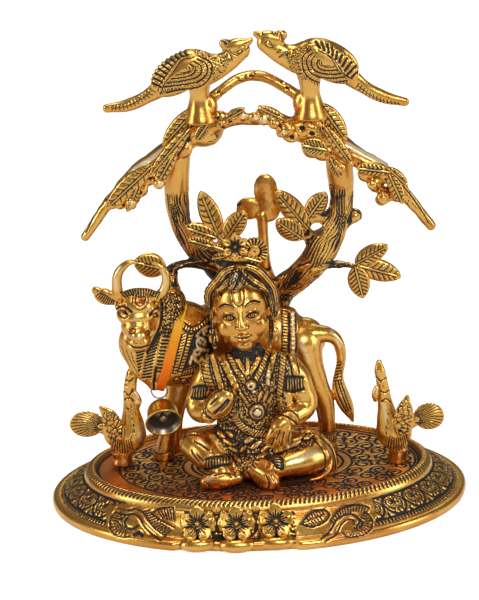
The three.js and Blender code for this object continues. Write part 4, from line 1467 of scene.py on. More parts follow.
def make_canopy():
    arms = clay("canopy", [*canopy_arms(), *canopy_lumps()], 0.42, 3)
    skin = Skin(arms)
    for line in RIDGE_LINES:
        skin.ridge(curve(line), 3.2, 0.7)
    lump = grain(skin.co, 3.2, 2)
    skin.rise += np.where(skin.seen[:, 1] > 95, 0.5 * (lump - 0.5), 0.25 * (lump - 0.5))
    vein = np.abs(grain(skin.co, 2.1, 12) - 0.5)
    leafy = smoothstep((grain(skin.co, 6.0, 13) - 0.46) / 0.16)
    skin.sink(smoothstep(1.3 - vein / 0.045) * leafy, 0.3, 0.85)
    skin.draw(FOLD_LINES, 0.8, 0.45)
    for u, v, r in BLACK_PITS:
        skin.groove([(u, v), (u + 0.5, v)], r * 0.72, 1.1 if r > 1 else 0.3)
    for outline in RUBBED_BARE:
        bare = skin.inside(outline)
        skin.dark[bare] *= 0.15
        skin.cut[bare] *= 0.15
    # Painted highlights on the arms and lobes
    skin.paint_highlights(CANOPY_HIGHLIGHTS)
    skin.warm += 0.35 * skin.clouds(9)
    skin.finish(cavity=1.0)
    leaves = [picture_leaf(*sizes) for sizes in CANOPY_LEAVES]
    dress(join("canopy", [arms, *leaves]), GOLD, "antique_gold", "canopy")


make_canopy()

# The birds


LEFT_WING = {
    "midrib": [(192, 57), (180, 59.5), (171.7, 71), (163, 82.5), (159.5, 92)],
    "back edge": [(149.5, 82), (152, 75), (157, 67.5), (163, 61), (168, 56.5), (174, 52.5), (182, 49.5)],
    "back root": [(161, 87), (162.5, 81), (166, 74.5), (169, 68.5), (173, 63.5), (179, 58.5), (187, 55)],
    "swirls": [
        [(200, 56), (210, 62), (212, 72), (206, 83), (196, 88), (181, 90), (166, 93)],
        [(197, 59), (206, 64), (207, 73), (201, 80), (190, 84), (177, 85.5), (164, 87)],
        [(194, 61.5), (200.5, 66), (201, 73), (195.5, 78), (186, 80.5), (176, 82), (167, 83)],
        [(190, 64), (195, 68), (194, 73), (188, 76.5), (180, 78), (171, 79)],
    ],
    "under": ([(161, 95), (172, 91.5), (184, 90.5)], [(160, 92), (171, 88.5), (184, 88)]),
}
RIGHT_WING = {
    "midrib": [(320, 51), (331.8, 58), (340.4, 71), (351, 78.5)],
    "back edge": [(316, 41.5), (326, 43), (335, 49.5), (345, 57), (354, 63.5), (359.5, 71)],
    "back root": [(320, 48), (330.4, 53.7), (337.6, 61), (343.3, 68), (347.6, 75.2), (351, 78)],
    "swirls": [
        [(311, 49), (304, 55), (302, 63), (306, 75), (317, 82), (332, 83), (347, 81)],
        [(313, 52), (307.5, 58), (307, 65), (311, 73), (320, 77.5), (332, 78.5), (345, 77)],
        [(315, 56), (311.5, 61), (312, 67), (316, 71.5), (324, 74), (334, 74.5), (342, 73.5)],
        [(318, 60), (317, 65), (321, 69.5), (329, 70.8), (338, 70)],
    ],
    "under": ([(307, 79), (318, 86), (332, 87), (346, 85)], [(306, 76), (317, 83), (332, 84), (347, 82)]),
}
BIRD_MARKS = {
    "bird_left": {
        "scales": [(190, 49), (205, 50), (224, 54), (231, 61), (226, 71), (214, 82), (210, 76), (211, 64),
            (200, 56)],
        "eye": [(236.5, 52.5), (239, 50.5), (242.5, 50), (241, 52.5), (238.5, 54), (236.5, 52.5)],
        "face": [[(229, 50), (233, 54), (238, 56)], [(243, 52), (247, 49), (251, 44)],
            [(245, 44), (249, 42)]],
        "collar": [[(223.5, 53), (227, 51), (230.4, 55), (232, 60)],
            [(225, 49.5), (228.5, 52), (231, 57)]],
        "tail": ([(112, 110.5), (128, 109), (146, 100), (156, 93)],
            [(112, 106.5), (126, 103.5), (140, 95.5), (149, 88)]),
        "crest": ([(222, 41), (224, 39), (228, 37)], [(226, 46), (227, 44), (230, 42)]),
    },
    "bird_right": {
        "scales": [(284, 52), (293, 50), (306, 46), (313, 48), (302, 56), (300, 66), (307, 80), (302, 81),
            (292, 74)],
        "eye": [(264.5, 43), (266.5, 41), (270, 42), (272.5, 47), (268.5, 47.5), (265.5, 45),
            (264.5, 43)],
        "face": [[(263, 37), (267, 38)], [(261.5, 35), (262.5, 32)]],
        "collar": [[(277, 52), (281, 50)], [(279, 57), (286, 52)]],
        "tail": ([(400, 106), (384, 104.5), (368, 97), (356, 88)],
            [(398, 102.5), (384, 99), (370, 92), (359, 83)]),
        "crest": ([(273, 32), (277, 31.5), (281, 33), (284, 38)],
            [(275, 36), (278, 37), (281, 39), (282, 42)]),
    },
}


def carve_wing(skin, wing):
    skin.ridge(curve(wing["midrib"]), 1.7, 0.5)
    for offset in (-1.7, 1.7):
        skin.draw([np.array(wing["midrib"]) + [offset, offset * 0.4]], 0.55, 0.3)
    skin.comb([wing["back edge"], wing["back root"]], 10, 1.35, 0.5)
    lines = [curve(line) for line in wing["swirls"]]
    for line in lines:
        skin.groove(line, 0.8, 0.4)
    for upper, lower in zip(lines[:-1], lines[1:]):
        skin.hatch([spaced(upper, 40), spaced(lower, 40)], 19, 0.38, 0.2, 0.75, first=0.15)
    core = np.array(wing["swirls"][-1])
    for share in (0.72, 0.42):
        skin.draw([core.mean(0) + (core - core.mean(0)) * share + [0, -2.5]], 0.5, 0.25)
    skin.comb(wing["under"], 14, 0.5, 0.25)


def carve_bird(skin, wing, marks):
    carve_wing(skin, wing)
    skin.scales(marks["scales"], 1.15, 3)
    skin.comb(marks["tail"], 13, 0.5, 0.25)
    skin.groove(curve(np.mean(marks["tail"], axis=0)), 0.45, 0.25, 0.8)
    skin.comb(marks["crest"], 7, 0.45, 0.25)
    skin.draw([marks["eye"]], 0.5, 0.3)
    skin.boss(np.mean(marks["eye"], axis=0), 1.1, 0.25)
    skin.draw(marks["face"] + marks["collar"], 0.55, 0.3)


BIRD_Y = 2
BIRD_SEAT = 170.3


def make_bird(name, middle, way, droop, foot_x, wing):
    """A bird that looks along +X when `way` is 1, with a tail that droops in millimetres."""
    mx, mz = middle

    def at(x, z, r, y=0.0):
        return [mx + way * x, BIRD_Y + y, mz + z, r]

    def tail(x, z, r):
        return at(x, z - droop * ((-x - 8) / 29), r)

    back = [tail(-37.0, -17, 1.9), tail(-28, -15.4, 2.8), tail(-18.4, -10.6, 3.2), at(-10.6, -4.6, 5.6)]
    breast = [at(-3.6, 0, 8.6), at(3.6, 0.4, 8.2), at(10.6, 1.6, 5.6), at(15.8, 4.4, 4.4),
        at(20, 8.0, 4.1)]
    head = [at(15.6, 9.2, 3.4), at(19.4, 10.2, 3.4), at(22.2, 11.2, 2.4), at(24.2, 12.2, 1.4)]
    leg = [[foot_x, y, z, r] for y, z, r in
           ((2, mz - 3, 6.0), (2.6, 184, 4.3), (3, 179, 4.6), (3, 174, 6.2), (3, 170.6, 7.4))]
    body = [
        limb([*back, *breast], 0.66),
        limb(head, 0.7),
        ball(at(13.8, 11.2, 0)[:3], [2.7, 1.6, 2.3]),
        limb(leg, caps=False),
        ball([foot_x + way * 1.3, 3.6, 176.2], [6.2, 4.3, 7.0], segments=32),
    ]
    for side in (-1, 1):
        shoulder = at(-6, -1.0, 0, side * 3.5)[:3]
        body.append(ball(shoulder, [13.6, 2.8, 7.4], [0, way * -30, 0], segments=32))
    bird = clay(name, body, 0.32, 3)
    cut_below(bird, BIRD_SEAT)
    skin = Skin(bird)
    for side in (skin.front, skin.normal[:, 1] > 0.1):
        skin.draw_on(skin.seen, side)
        carve_bird(skin, wing, BIRD_MARKS[name])
    skin.warm += 0.4 * smoothstep((184 - skin.co[:, 2]) / 10) * skin.clouds(6, 0.3, 0.3)
    skin.finish(cavity=0.85)
    dress(bird, GOLD, "antique_gold", name)


make_bird("bird_left", [-20, 193.2], 1, -1.5, -18, LEFT_WING)
make_bird("bird_right", [31, 196], -1, 3.4, 28.4, RIGHT_WING)

# The peacocks. Picture points with a radius in pixels and, where given, a y in millimetres.

PEACOCKS = {
    "peacock_left": {
        "y": 3.0,
        "neck": [(125, 449, 10), (131, 438, 14.6), (132.4, 426, 12.6), (131.6, 414, 9.4),
            (130.5, 403, 7.2), (130, 391, 6.6),
                 (131, 381, 6.2), (132, 373, 5.6), (132.5, 367, 3.4)],
        "wattle": [(134.5, 393, 3.2, -0.6), (137.5, 401, 4.4, -0.8), (137, 407, 3.0, -0.6)],
        "belly": [(112, 436, 8), (122, 441, 12), (131, 436, 14)],
        "wing": [(101.4, 408, 3, -0.4), (107.6, 414.6, 7.6, -0.9), (112.6, 425, 10.4, -1.2),
            (116, 437, 11, -1.2), (121, 446, 7.4, -0.6)],
        "fan": ((87, 424), (17.5, 14), 3.6), "stem": [(100, 427, 5.5, 3.4), (110, 432, 6, 3.2)],
        "foot": [(121, 450, 10), (122.6, 457, 9.4), (122.6, 463, 11)],
        "fan root": (105, 427),
            "rays": [(97, 411), (90, 410), (82, 412), (76, 416), (72, 421), (71, 426), (73, 431),
                (78, 435), (85, 437.5), (93, 438)],
        "notches": [[(123, 378), (129, 381), (134, 378)], [(123.5, 391), (129, 395), (133, 390)],
            [(124, 400), (130, 398), (134, 401)],
                    [(126, 408), (131, 410)], [(124, 384), (127, 386)]],
        "dashes": [((132, 418), 0.9), ((133.5, 424), 0.8), ((134, 430), 0.9), ((131.5, 436), 0.8),
            ((131, 405), 0.8), ((127, 372), 0.7)],
        "wing scales": [(104, 409), (120, 414), (124, 424), (122, 438), (114, 446), (106, 434),
            (102, 420)],
        "strokes": ([(112, 450), (116, 452), (122, 453.5), (128, 453), (133, 450)],
            [(114, 438), (118, 440), (122, 441), (126, 441), (130, 439)]),
        "eye": (130, 370.5), "paint_highlights": [([(136, 384), (137, 402)], 3), ([(140, 424), (140, 440)], 3.4),
            ((124, 462), 3.4)],
    },
    "peacock_right": {
        "y": -2.0,
        "neck": [(397, 443, 10.6), (391.4, 434, 14), (388.4, 422, 12), (386.4, 410, 9), (384.6, 399, 7),
            (383, 388, 6.2),
                 (381, 377, 5.6), (379.5, 369, 5.2), (379, 362.5, 3.2)],
        "wattle": [(376.5, 388, 3.0, -5.2), (375, 395, 3.6, -5.4), (375.4, 399.5, 2.6, -5.2)],
        "belly": [(404, 434, 8), (397, 438, 12), (390, 432, 13)],
        "wing": [(407, 397, 2.8, -5.4), (405.4, 405, 7, -5.8), (404, 416, 10, -6.2),
            (402.4, 429, 10, -6.2), (399, 440, 7, -5.6)],
        "fan": ((429, 416), (15.5, 14.5), -1.2), "stem": [(416, 420, 5.5, -1.6), (408, 425, 6, -1.8)],
        "foot": [(399, 447, 9), (397.6, 455, 9), (397, 462, 10)],
        "fan root": (413, 421),
            "rays": [(418, 405), (424, 402.5), (431, 402), (438, 404), (443, 409), (444.5, 415),
                (443, 421), (438, 426), (431, 429), (423, 430)],
        "notches": [[(376, 377), (381, 381), (387, 377)], [(380, 391), (385, 393), (389, 390)],
            [(381, 402), (386, 399), (391, 402)],
                    [(378, 369), (381, 370.5)]],
        "dashes": [((388, 413), 0.8), ((387, 419), 0.9), ((386, 426), 0.8), ((386, 432), 0.9),
            ((383, 385), 0.7)],
        "wing scales": [(393, 400), (408, 396), (413, 408), (412, 424), (406, 440), (399, 436),
            (393, 418)],
        "strokes": ([(388, 447), (393, 450), (398, 451), (404, 448), (408, 443)],
            [(390, 436), (394, 438), (398, 439), (402, 437), (405, 433)]),
        "eye": (378.5, 367), "paint_highlights": [([(384, 404), (386, 420)], 3), ((400, 454), 3.4),
            ([(377, 376), (376, 392)], 2.6)],
    },
}


def carve_peacock(skin, form):
    root = np.array(form["fan root"])
    for tip in spaced(curve(form["rays"], 8), 17):
        ray = [root + (tip - root) * 0.22, root + (tip - root) * 0.6 + [0, -1.6], tip]
        skin.draw([ray], 0.5, 0.3, 0.75)
    skin.scales(form["wing scales"], 2.2, 5)
    skin.comb(form["strokes"], 9, 0.5, 0.3)
    skin.draw(form["notches"], 0.6, 0.35)
    for (u, v), r in form["dashes"]:
        skin.groove([(u, v), (u + 0.4, v + 2.4)], r * 0.7, 0.3)
    skin.groove([form["eye"], form["eye"]], 0.7, 0.25)


def make_peacock(name):
    form = PEACOCKS[name]
    y = form["y"]
    (fan_u, fan_v), (fan_wide, fan_high), fan_y = form["fan"]
    fan_x, fan_z = place(fan_u, fan_v, fan_y)
    far_wing = spots(y + 5.2, [point[:3] for point in form["wing"]])
    body = [
        limb(spots(y, form["neck"]), 0.85),
        limb(spots(y, form["wattle"])),
        limb(spots(y, form["belly"]), 0.75),
        limb(spots(y, form["wing"]), 0.3),
        limb(far_wing, 0.3),
        limb(spots(y, form["stem"]), 0.55),
        limb(spots(y, form["foot"]), 0.9, caps=False),
        ball([fan_x, fan_y, fan_z], [fan_wide * PIXEL, 1.3, fan_high * PIXEL], segments=40),
    ]
    peacock = clay(name, body, 0.3, 3)
    cut_below(peacock, ON_FLOOR)
    skin = Skin(peacock)
    for side in (skin.front, skin.normal[:, 1] > 0.1):
        skin.draw_on(skin.seen, side)
        carve_peacock(skin, form)
    skin.draw_on(skin.seen, skin.front)
    # Painted highlights on the neck, breast and foot
    skin.paint_highlights(form["paint_highlights"], 0.6)
    # Copper warmth low down, near the base, is a painted reflection of its orange gold
    skin.warm += 0.75 * smoothstep((27 - skin.co[:, 2]) / 12)
    skin.finish(cavity=0.8)
    dress(peacock, GOLD, "antique_gold", name)


make_peacock("peacock_left")
make_peacock("peacock_right")

# The band round the cow's neck, the wire, the bell and its clapper

BAND_MIDDLE = np.array([-35.2, 6.0, 67.8])
BAND_LONG = 20.6
BAND_DEEP = 12.8
BAND_TILT = 17
WIRE_MIDDLE = np.array([-41.05, 6.0, 47.35])
WIRE_RADIUS = 3.4
BELL_MOUTH = np.array([-39.3, -5.9, 37.4])
BELL_AXIS = np.array([0.12, -0.9, -0.42]) / np.linalg.norm([0.12, -0.9, -0.42])
BELL_LENGTH = 10.6
BELL_RADIUS = 8.0


def make_band():
    around = np.linspace(0, 2 * np.pi, 18, endpoint=False)
    t, f = np.meshgrid(np.linspace(0, 2 * np.pi, 120, endpoint=False), around, indexing="ij")
    flat_across = np.sign(np.cos(f)) * np.abs(np.cos(f)) ** 0.35
    bulge = np.sign(np.sin(f)) * np.abs(np.sin(f)) ** 0.6
    z = (BAND_LONG - 0.5 + 0.5 * bulge) * np.cos(t)
    y = (BAND_DEEP - 0.5 + 0.5 * bulge) * np.sin(t)
    x, z = turn(2.0 * flat_across, z, -BAND_TILT)
    band = grid_piece("neck_band", np.stack([x, y, z], -1) + BAND_MIDDLE, True, True)
    face_outwards(band)
    dress(band, BAND, "neck_band", "neck_band")


def make_wire():
    bpy.ops.mesh.primitive_torus_add(
        major_radius=WIRE_RADIUS * MM, minor_radius=0.35 * MM, major_segments=64, minor_segments=12,
        location=WIRE_MIDDLE * MM, rotation=(math.pi / 2, 0, 0),
    )
    wire = bpy.context.object
    bpy.ops.object.transform_apply(location=True, rotation=True, scale=True)
    wire.name = "bell_wire"
    dress(wire, STEEL, "bell_wire", "bell_wire")


BELL_SIDE = np.cross(BELL_AXIS, [0.0, 0.0, 1.0])
BELL_SIDE /= np.linalg.norm(BELL_SIDE)
BELL_OTHER = np.cross(BELL_AXIS, BELL_SIDE)


def turned(name, profile, columns=72):
    """A turned piece on the bell's axis: radius, and height above the mouth."""
    profile = np.asarray(profile, float)
    f = np.linspace(0, 2 * np.pi, columns, endpoint=False)
    ring = np.cos(f)[:, None] * -BELL_SIDE + np.sin(f)[:, None] * BELL_OTHER
    grid = BELL_MOUTH + profile[None, :, 1:2] * -BELL_AXIS + profile[None, :, 0:1] * ring[:, None, :]
    piece = grid_piece(name, grid, wrap_rows=True)
    face_outwards(piece)
    return piece


# Radius and height, as shares of the bell's own
BELL_OUTSIDE = [(0.2, 1), (0.55, 0.95), (0.78, 0.72), (0.84, 0.38), (0.9, 0.14)]
BELL_INSIDE = [(0.84, 0.2), (0.76, 0.5), (0.62, 0.74)]
BELL_WALL = 0.9
BEADS_ON_LIP = 44


def bell_shell():
    r, l = BELL_RADIUS, BELL_LENGTH
    outer = curve([*[(r * wide, l * high) for wide, high in BELL_OUTSIDE], (r, 0.1)])
    lip = [(r - 0.1, -0.25), (r - 0.8, -0.2)]
    hollow = [(r * wide - BELL_WALL, l * high) for wide, high in BELL_INSIDE]
    inner = curve([(r - 1.0, 0.2), *hollow, (0.0, l * 0.86)])
    return turned("bell", [(0.0, l), *outer, *lip, *inner])


def make_bell():
    r, l = BELL_RADIUS, BELL_LENGTH
    parts = [bell_shell()]
    for f in 2 * np.pi * np.arange(BEADS_ON_LIP) / BEADS_ON_LIP:
        out = (np.cos(f) * BELL_SIDE + np.sin(f) * BELL_OTHER) * (r - 0.35)
        parts.append(ball(BELL_MOUTH + out - BELL_AXIS * 0.3, [0.5, 0.5, 0.5], segments=8))
    top = BELL_MOUTH - BELL_AXIS * (l - 0.5)
    neck = top + [-0.2, 0.6, 1.4]
    wire_foot = WIRE_MIDDLE + [0.0, 0.3, -4.3]
    parts.append(limb([[*top, 0.9], [*neck, 0.7], [*wire_foot, 0.6]]))
    bell = join("bell", parts)
    dress(bell, BRASS, "bell_brass", "bell")
    bell.data.materials.append(DULL)
    for face in bell.data.polygons:
        offset = np.array(face.center) / MM - BELL_MOUTH
        depth = -offset @ BELL_AXIS
        radius = np.linalg.norm(offset + depth * BELL_AXIS)
        wall = np.interp(depth, [0, l * 0.5, l * 0.8, l], [r * 0.9, r * 0.74, r * 0.6, 0])
        if depth > 0.3 and radius < wall:
            face.material_index = 1
    tongue = [(0.0, 1.2), (1.2, 1.5), (1.9, 2.6), (1.6, 3.8), (0.6, 4.8), (0.5, l * 0.84),
        (0.0, l * 0.84)]
    dress(turned("bell_clapper", tongue, 32), CLAPPER, "bell_brass", "bell_clapper")


make_band()
make_wire()
make_bell()

# The cow. Lines are picture points; stations are millimetres unless they come through spots.

COW_Y = 17
COW_BROWS = [[(116.5, 308.5), (120, 306.2), (125, 306.5), (131.5, 312)],
    [(150.4, 315.5), (153, 310), (158.4, 307.4)]]
COW_EYES = [[(118, 311.8), (122.5, 311.2), (128, 314.8), (124.4, 318.4), (119.6, 315.8), (118, 311.8)],
            [(153.4, 314.6), (156.6, 313.4), (157.4, 316.4), (154.4, 317), (153.4, 314.6)]]
COW_MARK = [(134.4, 296), (134.4, 303.5), (139.8, 308.2), (146, 303.5), (146.4, 296)]
COW_NOSTRILS = [[(129.4, 330.4), (132.2, 328.4), (134.8, 330.4), (132.4, 333.2), (130.4, 332.4)],
                [(145.4, 332.2), (148.4, 330.6), (150.4, 332.8), (147.8, 335)]]
COW_MOUTH = [(126, 341.6), (129.4, 345.6), (135, 347.8), (142.6, 348), (149.6, 345)]
COW_FRINGE = ([(121, 292), (130, 289), (141, 288.4), (152, 289.4), (160, 292.6)],
    [(125, 297), (132, 294.4), (141, 297.4), (149, 294.6), (157, 298)])
HORNS = [
    [(118.6, 296, 5.4), (116.8, 284, 5.2), (118.4, 273.4, 4.7), (124, 266, 3.9), (131, 262, 2.8),
    (136.6, 262.6, 1.9)],
    [(158.6, 298, 5.2), (164.4, 289, 5.1), (166.4, 278.6, 4.8), (164, 270.6, 4.1), (159.4, 265.4, 2.9),
    (153.4, 263.4, 1.9)],
]
COW_EAR = ([(96, 297), (103, 303), (112, 307.5)], [(101.5, 291.5), (107, 296), (114, 300.5)])
COMBS = [
    ([(161, 332), (157, 345.7), (153, 361.7), (151, 377)],
    [(154.4, 338), (149, 350), (145, 364.4), (142.4, 378)], 15),
    ([(144.4, 351), (141.6, 361), (140.6, 370)], [(136.6, 353), (137.4, 362), (138.6, 371)], 7),
    ([(171, 326), (168, 340), (164, 356), (161, 372)],
    [(165.4, 326), (162, 340), (158.6, 356), (156.4, 372)], 14),
]
NECK_LINES = [[(161.4, 300), (160.6, 322), (155, 338), (147, 353)],
    [(156.6, 368), (154.6, 378), (153.6, 390)],
              [(121, 346), (127, 362), (136, 378)], [(126, 350), (131, 362), (139, 376)],
              [(131, 352), (134, 362), (139, 371)]]
MANE = [(163, 297), (172, 292), (183, 292), (188, 297), (186, 307), (178, 318), (172, 332), (166, 340),
    (161, 336), (162, 318)]
CLOTH = [(179, 319), (193, 328), (211, 313), (216, 345), (207, 372), (176, 384), (171, 374), (176, 348)]
CLOTH_LADDERS = [
    ([(181, 320), (193.4, 327)], [(179, 326), (191.6, 332.4)], 6),
    ([(195, 327), (210, 314.4)], [(196, 332.6), (210.6, 320.6)], 7),
    ([(194, 331), (190.4, 345), (186.4, 360), (183, 371)],
    [(188.4, 331), (184.8, 346), (181, 360), (177.6, 371)], 14),
    ([(186, 333), (182.4, 347), (178.6, 360), (175.8, 373)],
    [(181.6, 335), (178.2, 348), (175.2, 361), (172.8, 373)], 14),
    ([(183.4, 369.6), (193, 367), (208, 361)], [(181, 375.6), (193, 373), (208, 367.4)], 11),
]
CLOTH_FRAME = [
    [(181, 320), (193.4, 327), (211, 313.6)], [(179, 326), (192, 333), (211, 320.6)],
    [(188.4, 331), (184.8, 346), (181, 360), (177.4, 371)],
    [(194.4, 333), (190.4, 346), (186.4, 360), (183, 370)],
    [(181.4, 335), (178, 348), (175, 361), (172.6, 373)],
    [(183.4, 369.6), (193, 367), (208, 361)], [(181, 375.6), (193, 373), (208, 367.4)],
]
CLOTH_SCROLLS = [
    [(208, 350), (200, 349), (196, 343), (200, 338), (205, 341), (203, 345)],
    [(208, 350), (200, 352), (194, 358), (198, 362), (202, 358)],
    [(209, 336), (203, 333), (205, 328), (209, 326)], [(190, 362), (193, 355), (196, 350), (204, 349)],
    [(196, 336), (200, 331), (206, 324)],
    [(208, 356), (203, 360), (198, 365)],
]
SCALLOPS = [(177, 379.6), (184, 381), (191, 380.4), (198, 377.4), (205, 373.6)]
RUMP_STRAP = ([(282, 310), (282, 330), (281.4, 352)], [(288, 311), (288.4, 330), (287.6, 352)])
RUMP_BEADS = [(292.6, 313), (292.8, 332), (292.2, 353)]
TAIL_RINGS = ([(332.6, 363), (333, 372), (333.6, 381)], [(341, 362), (341.4, 371), (341.8, 380)])
TUFT_LINES = [[(335, 382), (338, 396), (346, 412)], [(338, 381), (342, 394), (349, 412)],
    [(341, 382), (345, 393), (351, 410)]]
ANKLET = ([(322, 433), (329, 434.6), (336.4, 433)], [(322.4, 439.6), (329, 441), (336.4, 439.4)])
LEG_LINES = [
    [(322, 431), (329, 432.6), (336.4, 431)], [(322.4, 441.4), (329, 442.8), (336.4, 441.2)],
    [(153, 452), (162, 454), (171, 451.4)],
]
# Rounds that make up the cow's head: middle, half width and half height in the picture, y, half depth
COW_FACE = [
    ((137, 303.6), (19, 12.4), -2.0, 8.0), ((139, 296), (20, 7), -1.4, 6.0),
    ((136.5, 314), (20, 12), -3.4, 7.6), ((137, 326), (16, 13), -6.0, 6.6),
    ((138.4, 340), (12.6, 10.4), -9.8, 6.0), ((138, 333), (10.6, 9), -9.8, 6.2),
    ((121.5, 307), (6.5, 4.5), -7.4, 3.6), ((154, 309), (6, 4.5), -6.4, 3.6),
]
EAR_STATIONS = [(115, 301, 5), (108, 298, 8), (101, 294.4, 8), (95.6, 290.4, 4.4)]
THROAT = [(137, 330, 14), (139, 346, 17.4), (144, 360, 17), (150, 373, 13.4), (155, 383, 8)]
HIND_LEG = [
    (302, 342, 21, 15), (309, 362, 14.6, 13), (317, 382, 11, 12), (325.6, 402, 8.6, 11.6),
    (328, 420, 7.4, 11), (329, 436, 6.8, 10.6), (329.4, 452, 8.8, 10),
]
FETLOCK = [(322, 437, 1.4), (325, 438.6, 1.8), (329, 439, 1.9), (333, 438.6, 1.8), (336.6, 437, 1.4)]
MUZZLE_DOTS = [
    (132, 337), (136, 336), (140, 338), (144, 337.4), (134, 341), (138.6, 342), (143, 341.4), (147, 339),
    (130, 339.6), (137, 339.6),
]
NOSE_LINES = [[(133, 318), (134.4, 324), (134, 328)], [(147, 318), (146.4, 324), (147, 329)]]
COW_MARK_MIDDLE = np.array([140.2, 300.0])
CLOTH_FIELD = [(194, 333), (211, 320), (215, 345), (208, 361), (183, 369)]
CLOTH_BOSSES = [
    (200, 343), (196, 359), (206, 331), (206, 355), (199, 354), (205, 345), (190, 364), (212, 340),
]


def cow_head():
    parts = []
    for (u, v), (wide, high), y, deep in COW_FACE:
        x, z = place(u, v, y)
        parts.append(ball([x, y, z], [wide * PIXEL, deep, high * PIXEL], segments=32))
    parts.append(limb(spots(-4, EAR_STATIONS), 0.4))
    parts.append(limb([[-36.6, -1, 93, 3.0], [-32.4, 0, 91, 1.4]], 0.5))
    parts += [limb(spots(-4, horn)) for horn in HORNS]
    return parts


def cow_body():
    y = COW_Y
    return [
        limb([[-30, y - 3, 66, 13], [-19, y, 67, 14.6], [0, y, 66, 14.2], [12, y, 65, 14.6],
            [18, y, 64.6, 13.4],
              [21.6, y, 64.6, 9.6]], 0.72),
        limb([[-23, 13, 68, 15], [-30, 9, 69, 18.4], [-35.4, 6, 68.4, 19.0], [-41, 3.6, 69, 16.4],
              [-45, 2.4, 71, 12.4]], 0.58),
        ball([-37, 4, 81], [9.4, 8.4, 13], [0, 12, 0]),
        ball([-35, 6, 88], [7.4, 7.0, 7]),
        limb(spots(1.5, THROAT), 0.62),
        limb(spots(14, TAIL)),
    ]


TAIL = [(306, 335, 12), (318, 334, 10), (328.6, 335, 7.8), (336.4, 340, 6.2), (340.4, 350, 5.4),
    (341, 362, 4.7), (338.8, 374, 4.8), (338.6, 384, 6.6),
        (342, 396, 7.8), (347, 407, 7.0), (350.6, 415, 4.2), (352.6, 420.6, 1.8)]


def cow_legs():
    return [
        limb([[-31, 13, 58, 7.4], [-33.2, 12, 46, 5.4], [-35, 11.6, 38, 4.2], [-38, 11.2, 27, 3.4],
              [-39.6, 11, 21, 3.6], [-40.4, 11, 14.8, 4.7]]),
        limb([[-28, 22, 58, 7], [-31.4, 22, 42, 4.4], [-35, 21, 28, 3.2], [-36, 20.6, 14.8, 3.6]]),
        limb(spots(12, HIND_LEG)),
        limb([[20.6, 22, 62, 7.4], [22.6, 22, 48, 5.6], [28, 21.6, 34, 3.8], [29.4, 21, 24, 3],
              [30, 20.6, 14.8, 3.6]]),
        limb(spots(10.2, FETLOCK)),
    ]


# Painted highlights on the cow, in the picture: points or lines and their radius
COW_HIGHLIGHTS = [([(116, 290), (115.4, 277), (120, 267)], 3), ([(161, 293), (165.6, 282), (163, 270)], 2.6),
    ((139, 337), 5), ((146, 330), 3),
              ([(180, 387), (176, 400)], 4), ((159, 452), 4), ([(292, 345), (298, 360)], 5),
              ([(301, 342), (308, 362)], 4), ([(332, 330), (340, 346)], 3),
              ([(191, 356), (197, 350), (204, 349)], 3), ([(199, 339), (204, 343)], 3),
              ([(201, 330), (206, 325)], 3), ((180, 306), 4), ((135, 318), 3)]


def carve_cow_face(skin):
    skin.draw(COW_BROWS, 1.5, 0.5)
    skin.draw(COW_EYES, 0.75, 0.4)
    for line in COW_EYES:
        skin.boss(np.mean(line, axis=0), 1.6, 0.35)
    skin.draw([COW_EYES[0][:3]], 1.0, 0.4)
    u_shape = curve(COW_MARK)
    skin.warm[skin.inside(COW_MARK)] = 0.8
    skin.ridge(u_shape, 2.1, 0.4)
    for shift in (-1.9, 1.9):
        skin.groove(COW_MARK_MIDDLE + (u_shape - COW_MARK_MIDDLE) * (1 + shift / 8), 0.6, 0.3)
    skin.ladder(COW_FRINGE, 15, 0.8, 0.4, 0.4)
    skin.comb(COW_EAR, 9, 0.7, 0.35)
    # Painted highlights on the horns, muzzle, legs, rump, tail and cloth
    skin.paint_highlights(COW_HIGHLIGHTS, 0.6)
    skin.draw(COW_NOSTRILS, 0.6, 0.3, 0.8)
    skin.draw([COW_MOUTH], 1.0, 0.6)
    skin.ridge(curve(np.array(COW_MOUTH) + [0, 2.6]), 1.4, 0.3)
    for u, v in MUZZLE_DOTS:
        skin.groove([(u, v), (u + 0.2, v)], 0.55, 0.25, 0.8)
    skin.draw(NOSE_LINES, 0.5, 0.15, 0.35)


def carve_cloth(skin):
    field = skin.inside(CLOTH)
    skin.rise[field] = np.maximum(skin.rise[field], 0.7)
    inner = skin.inside(CLOTH_FIELD)
    skin.dark[inner] = 1.3
    skin.cut[inner] = 0.5
    for line in CLOTH_SCROLLS:
        skin.ridge(curve(line), 1.3, 0.7)
        # The scrolls and bosses get painted highlights as well as relief
        skin.paint_highlight(curve(line), 1.3)
    for at in CLOTH_BOSSES:
        skin.boss(at, 1.7, 0.6)
        skin.paint_highlight(at, 1.2)
    for rail_a, rail_b, count in CLOTH_LADDERS:
        skin.clear(skin.inside([*rail_a, *rail_b[::-1]]))
        skin.comb([rail_a, rail_b], count, 0.6, 0.4)
    skin.draw(CLOTH_FRAME, 0.8, 0.5)
    for at in SCALLOPS:
        skin.boss(at, 3.0, 0.5)
        skin.groove(oval(at, 3.4, 3.4, 16), 0.8, 0.5)
        skin.groove([at, (at[0], at[1] + 1.2)], 0.8, 0.3)


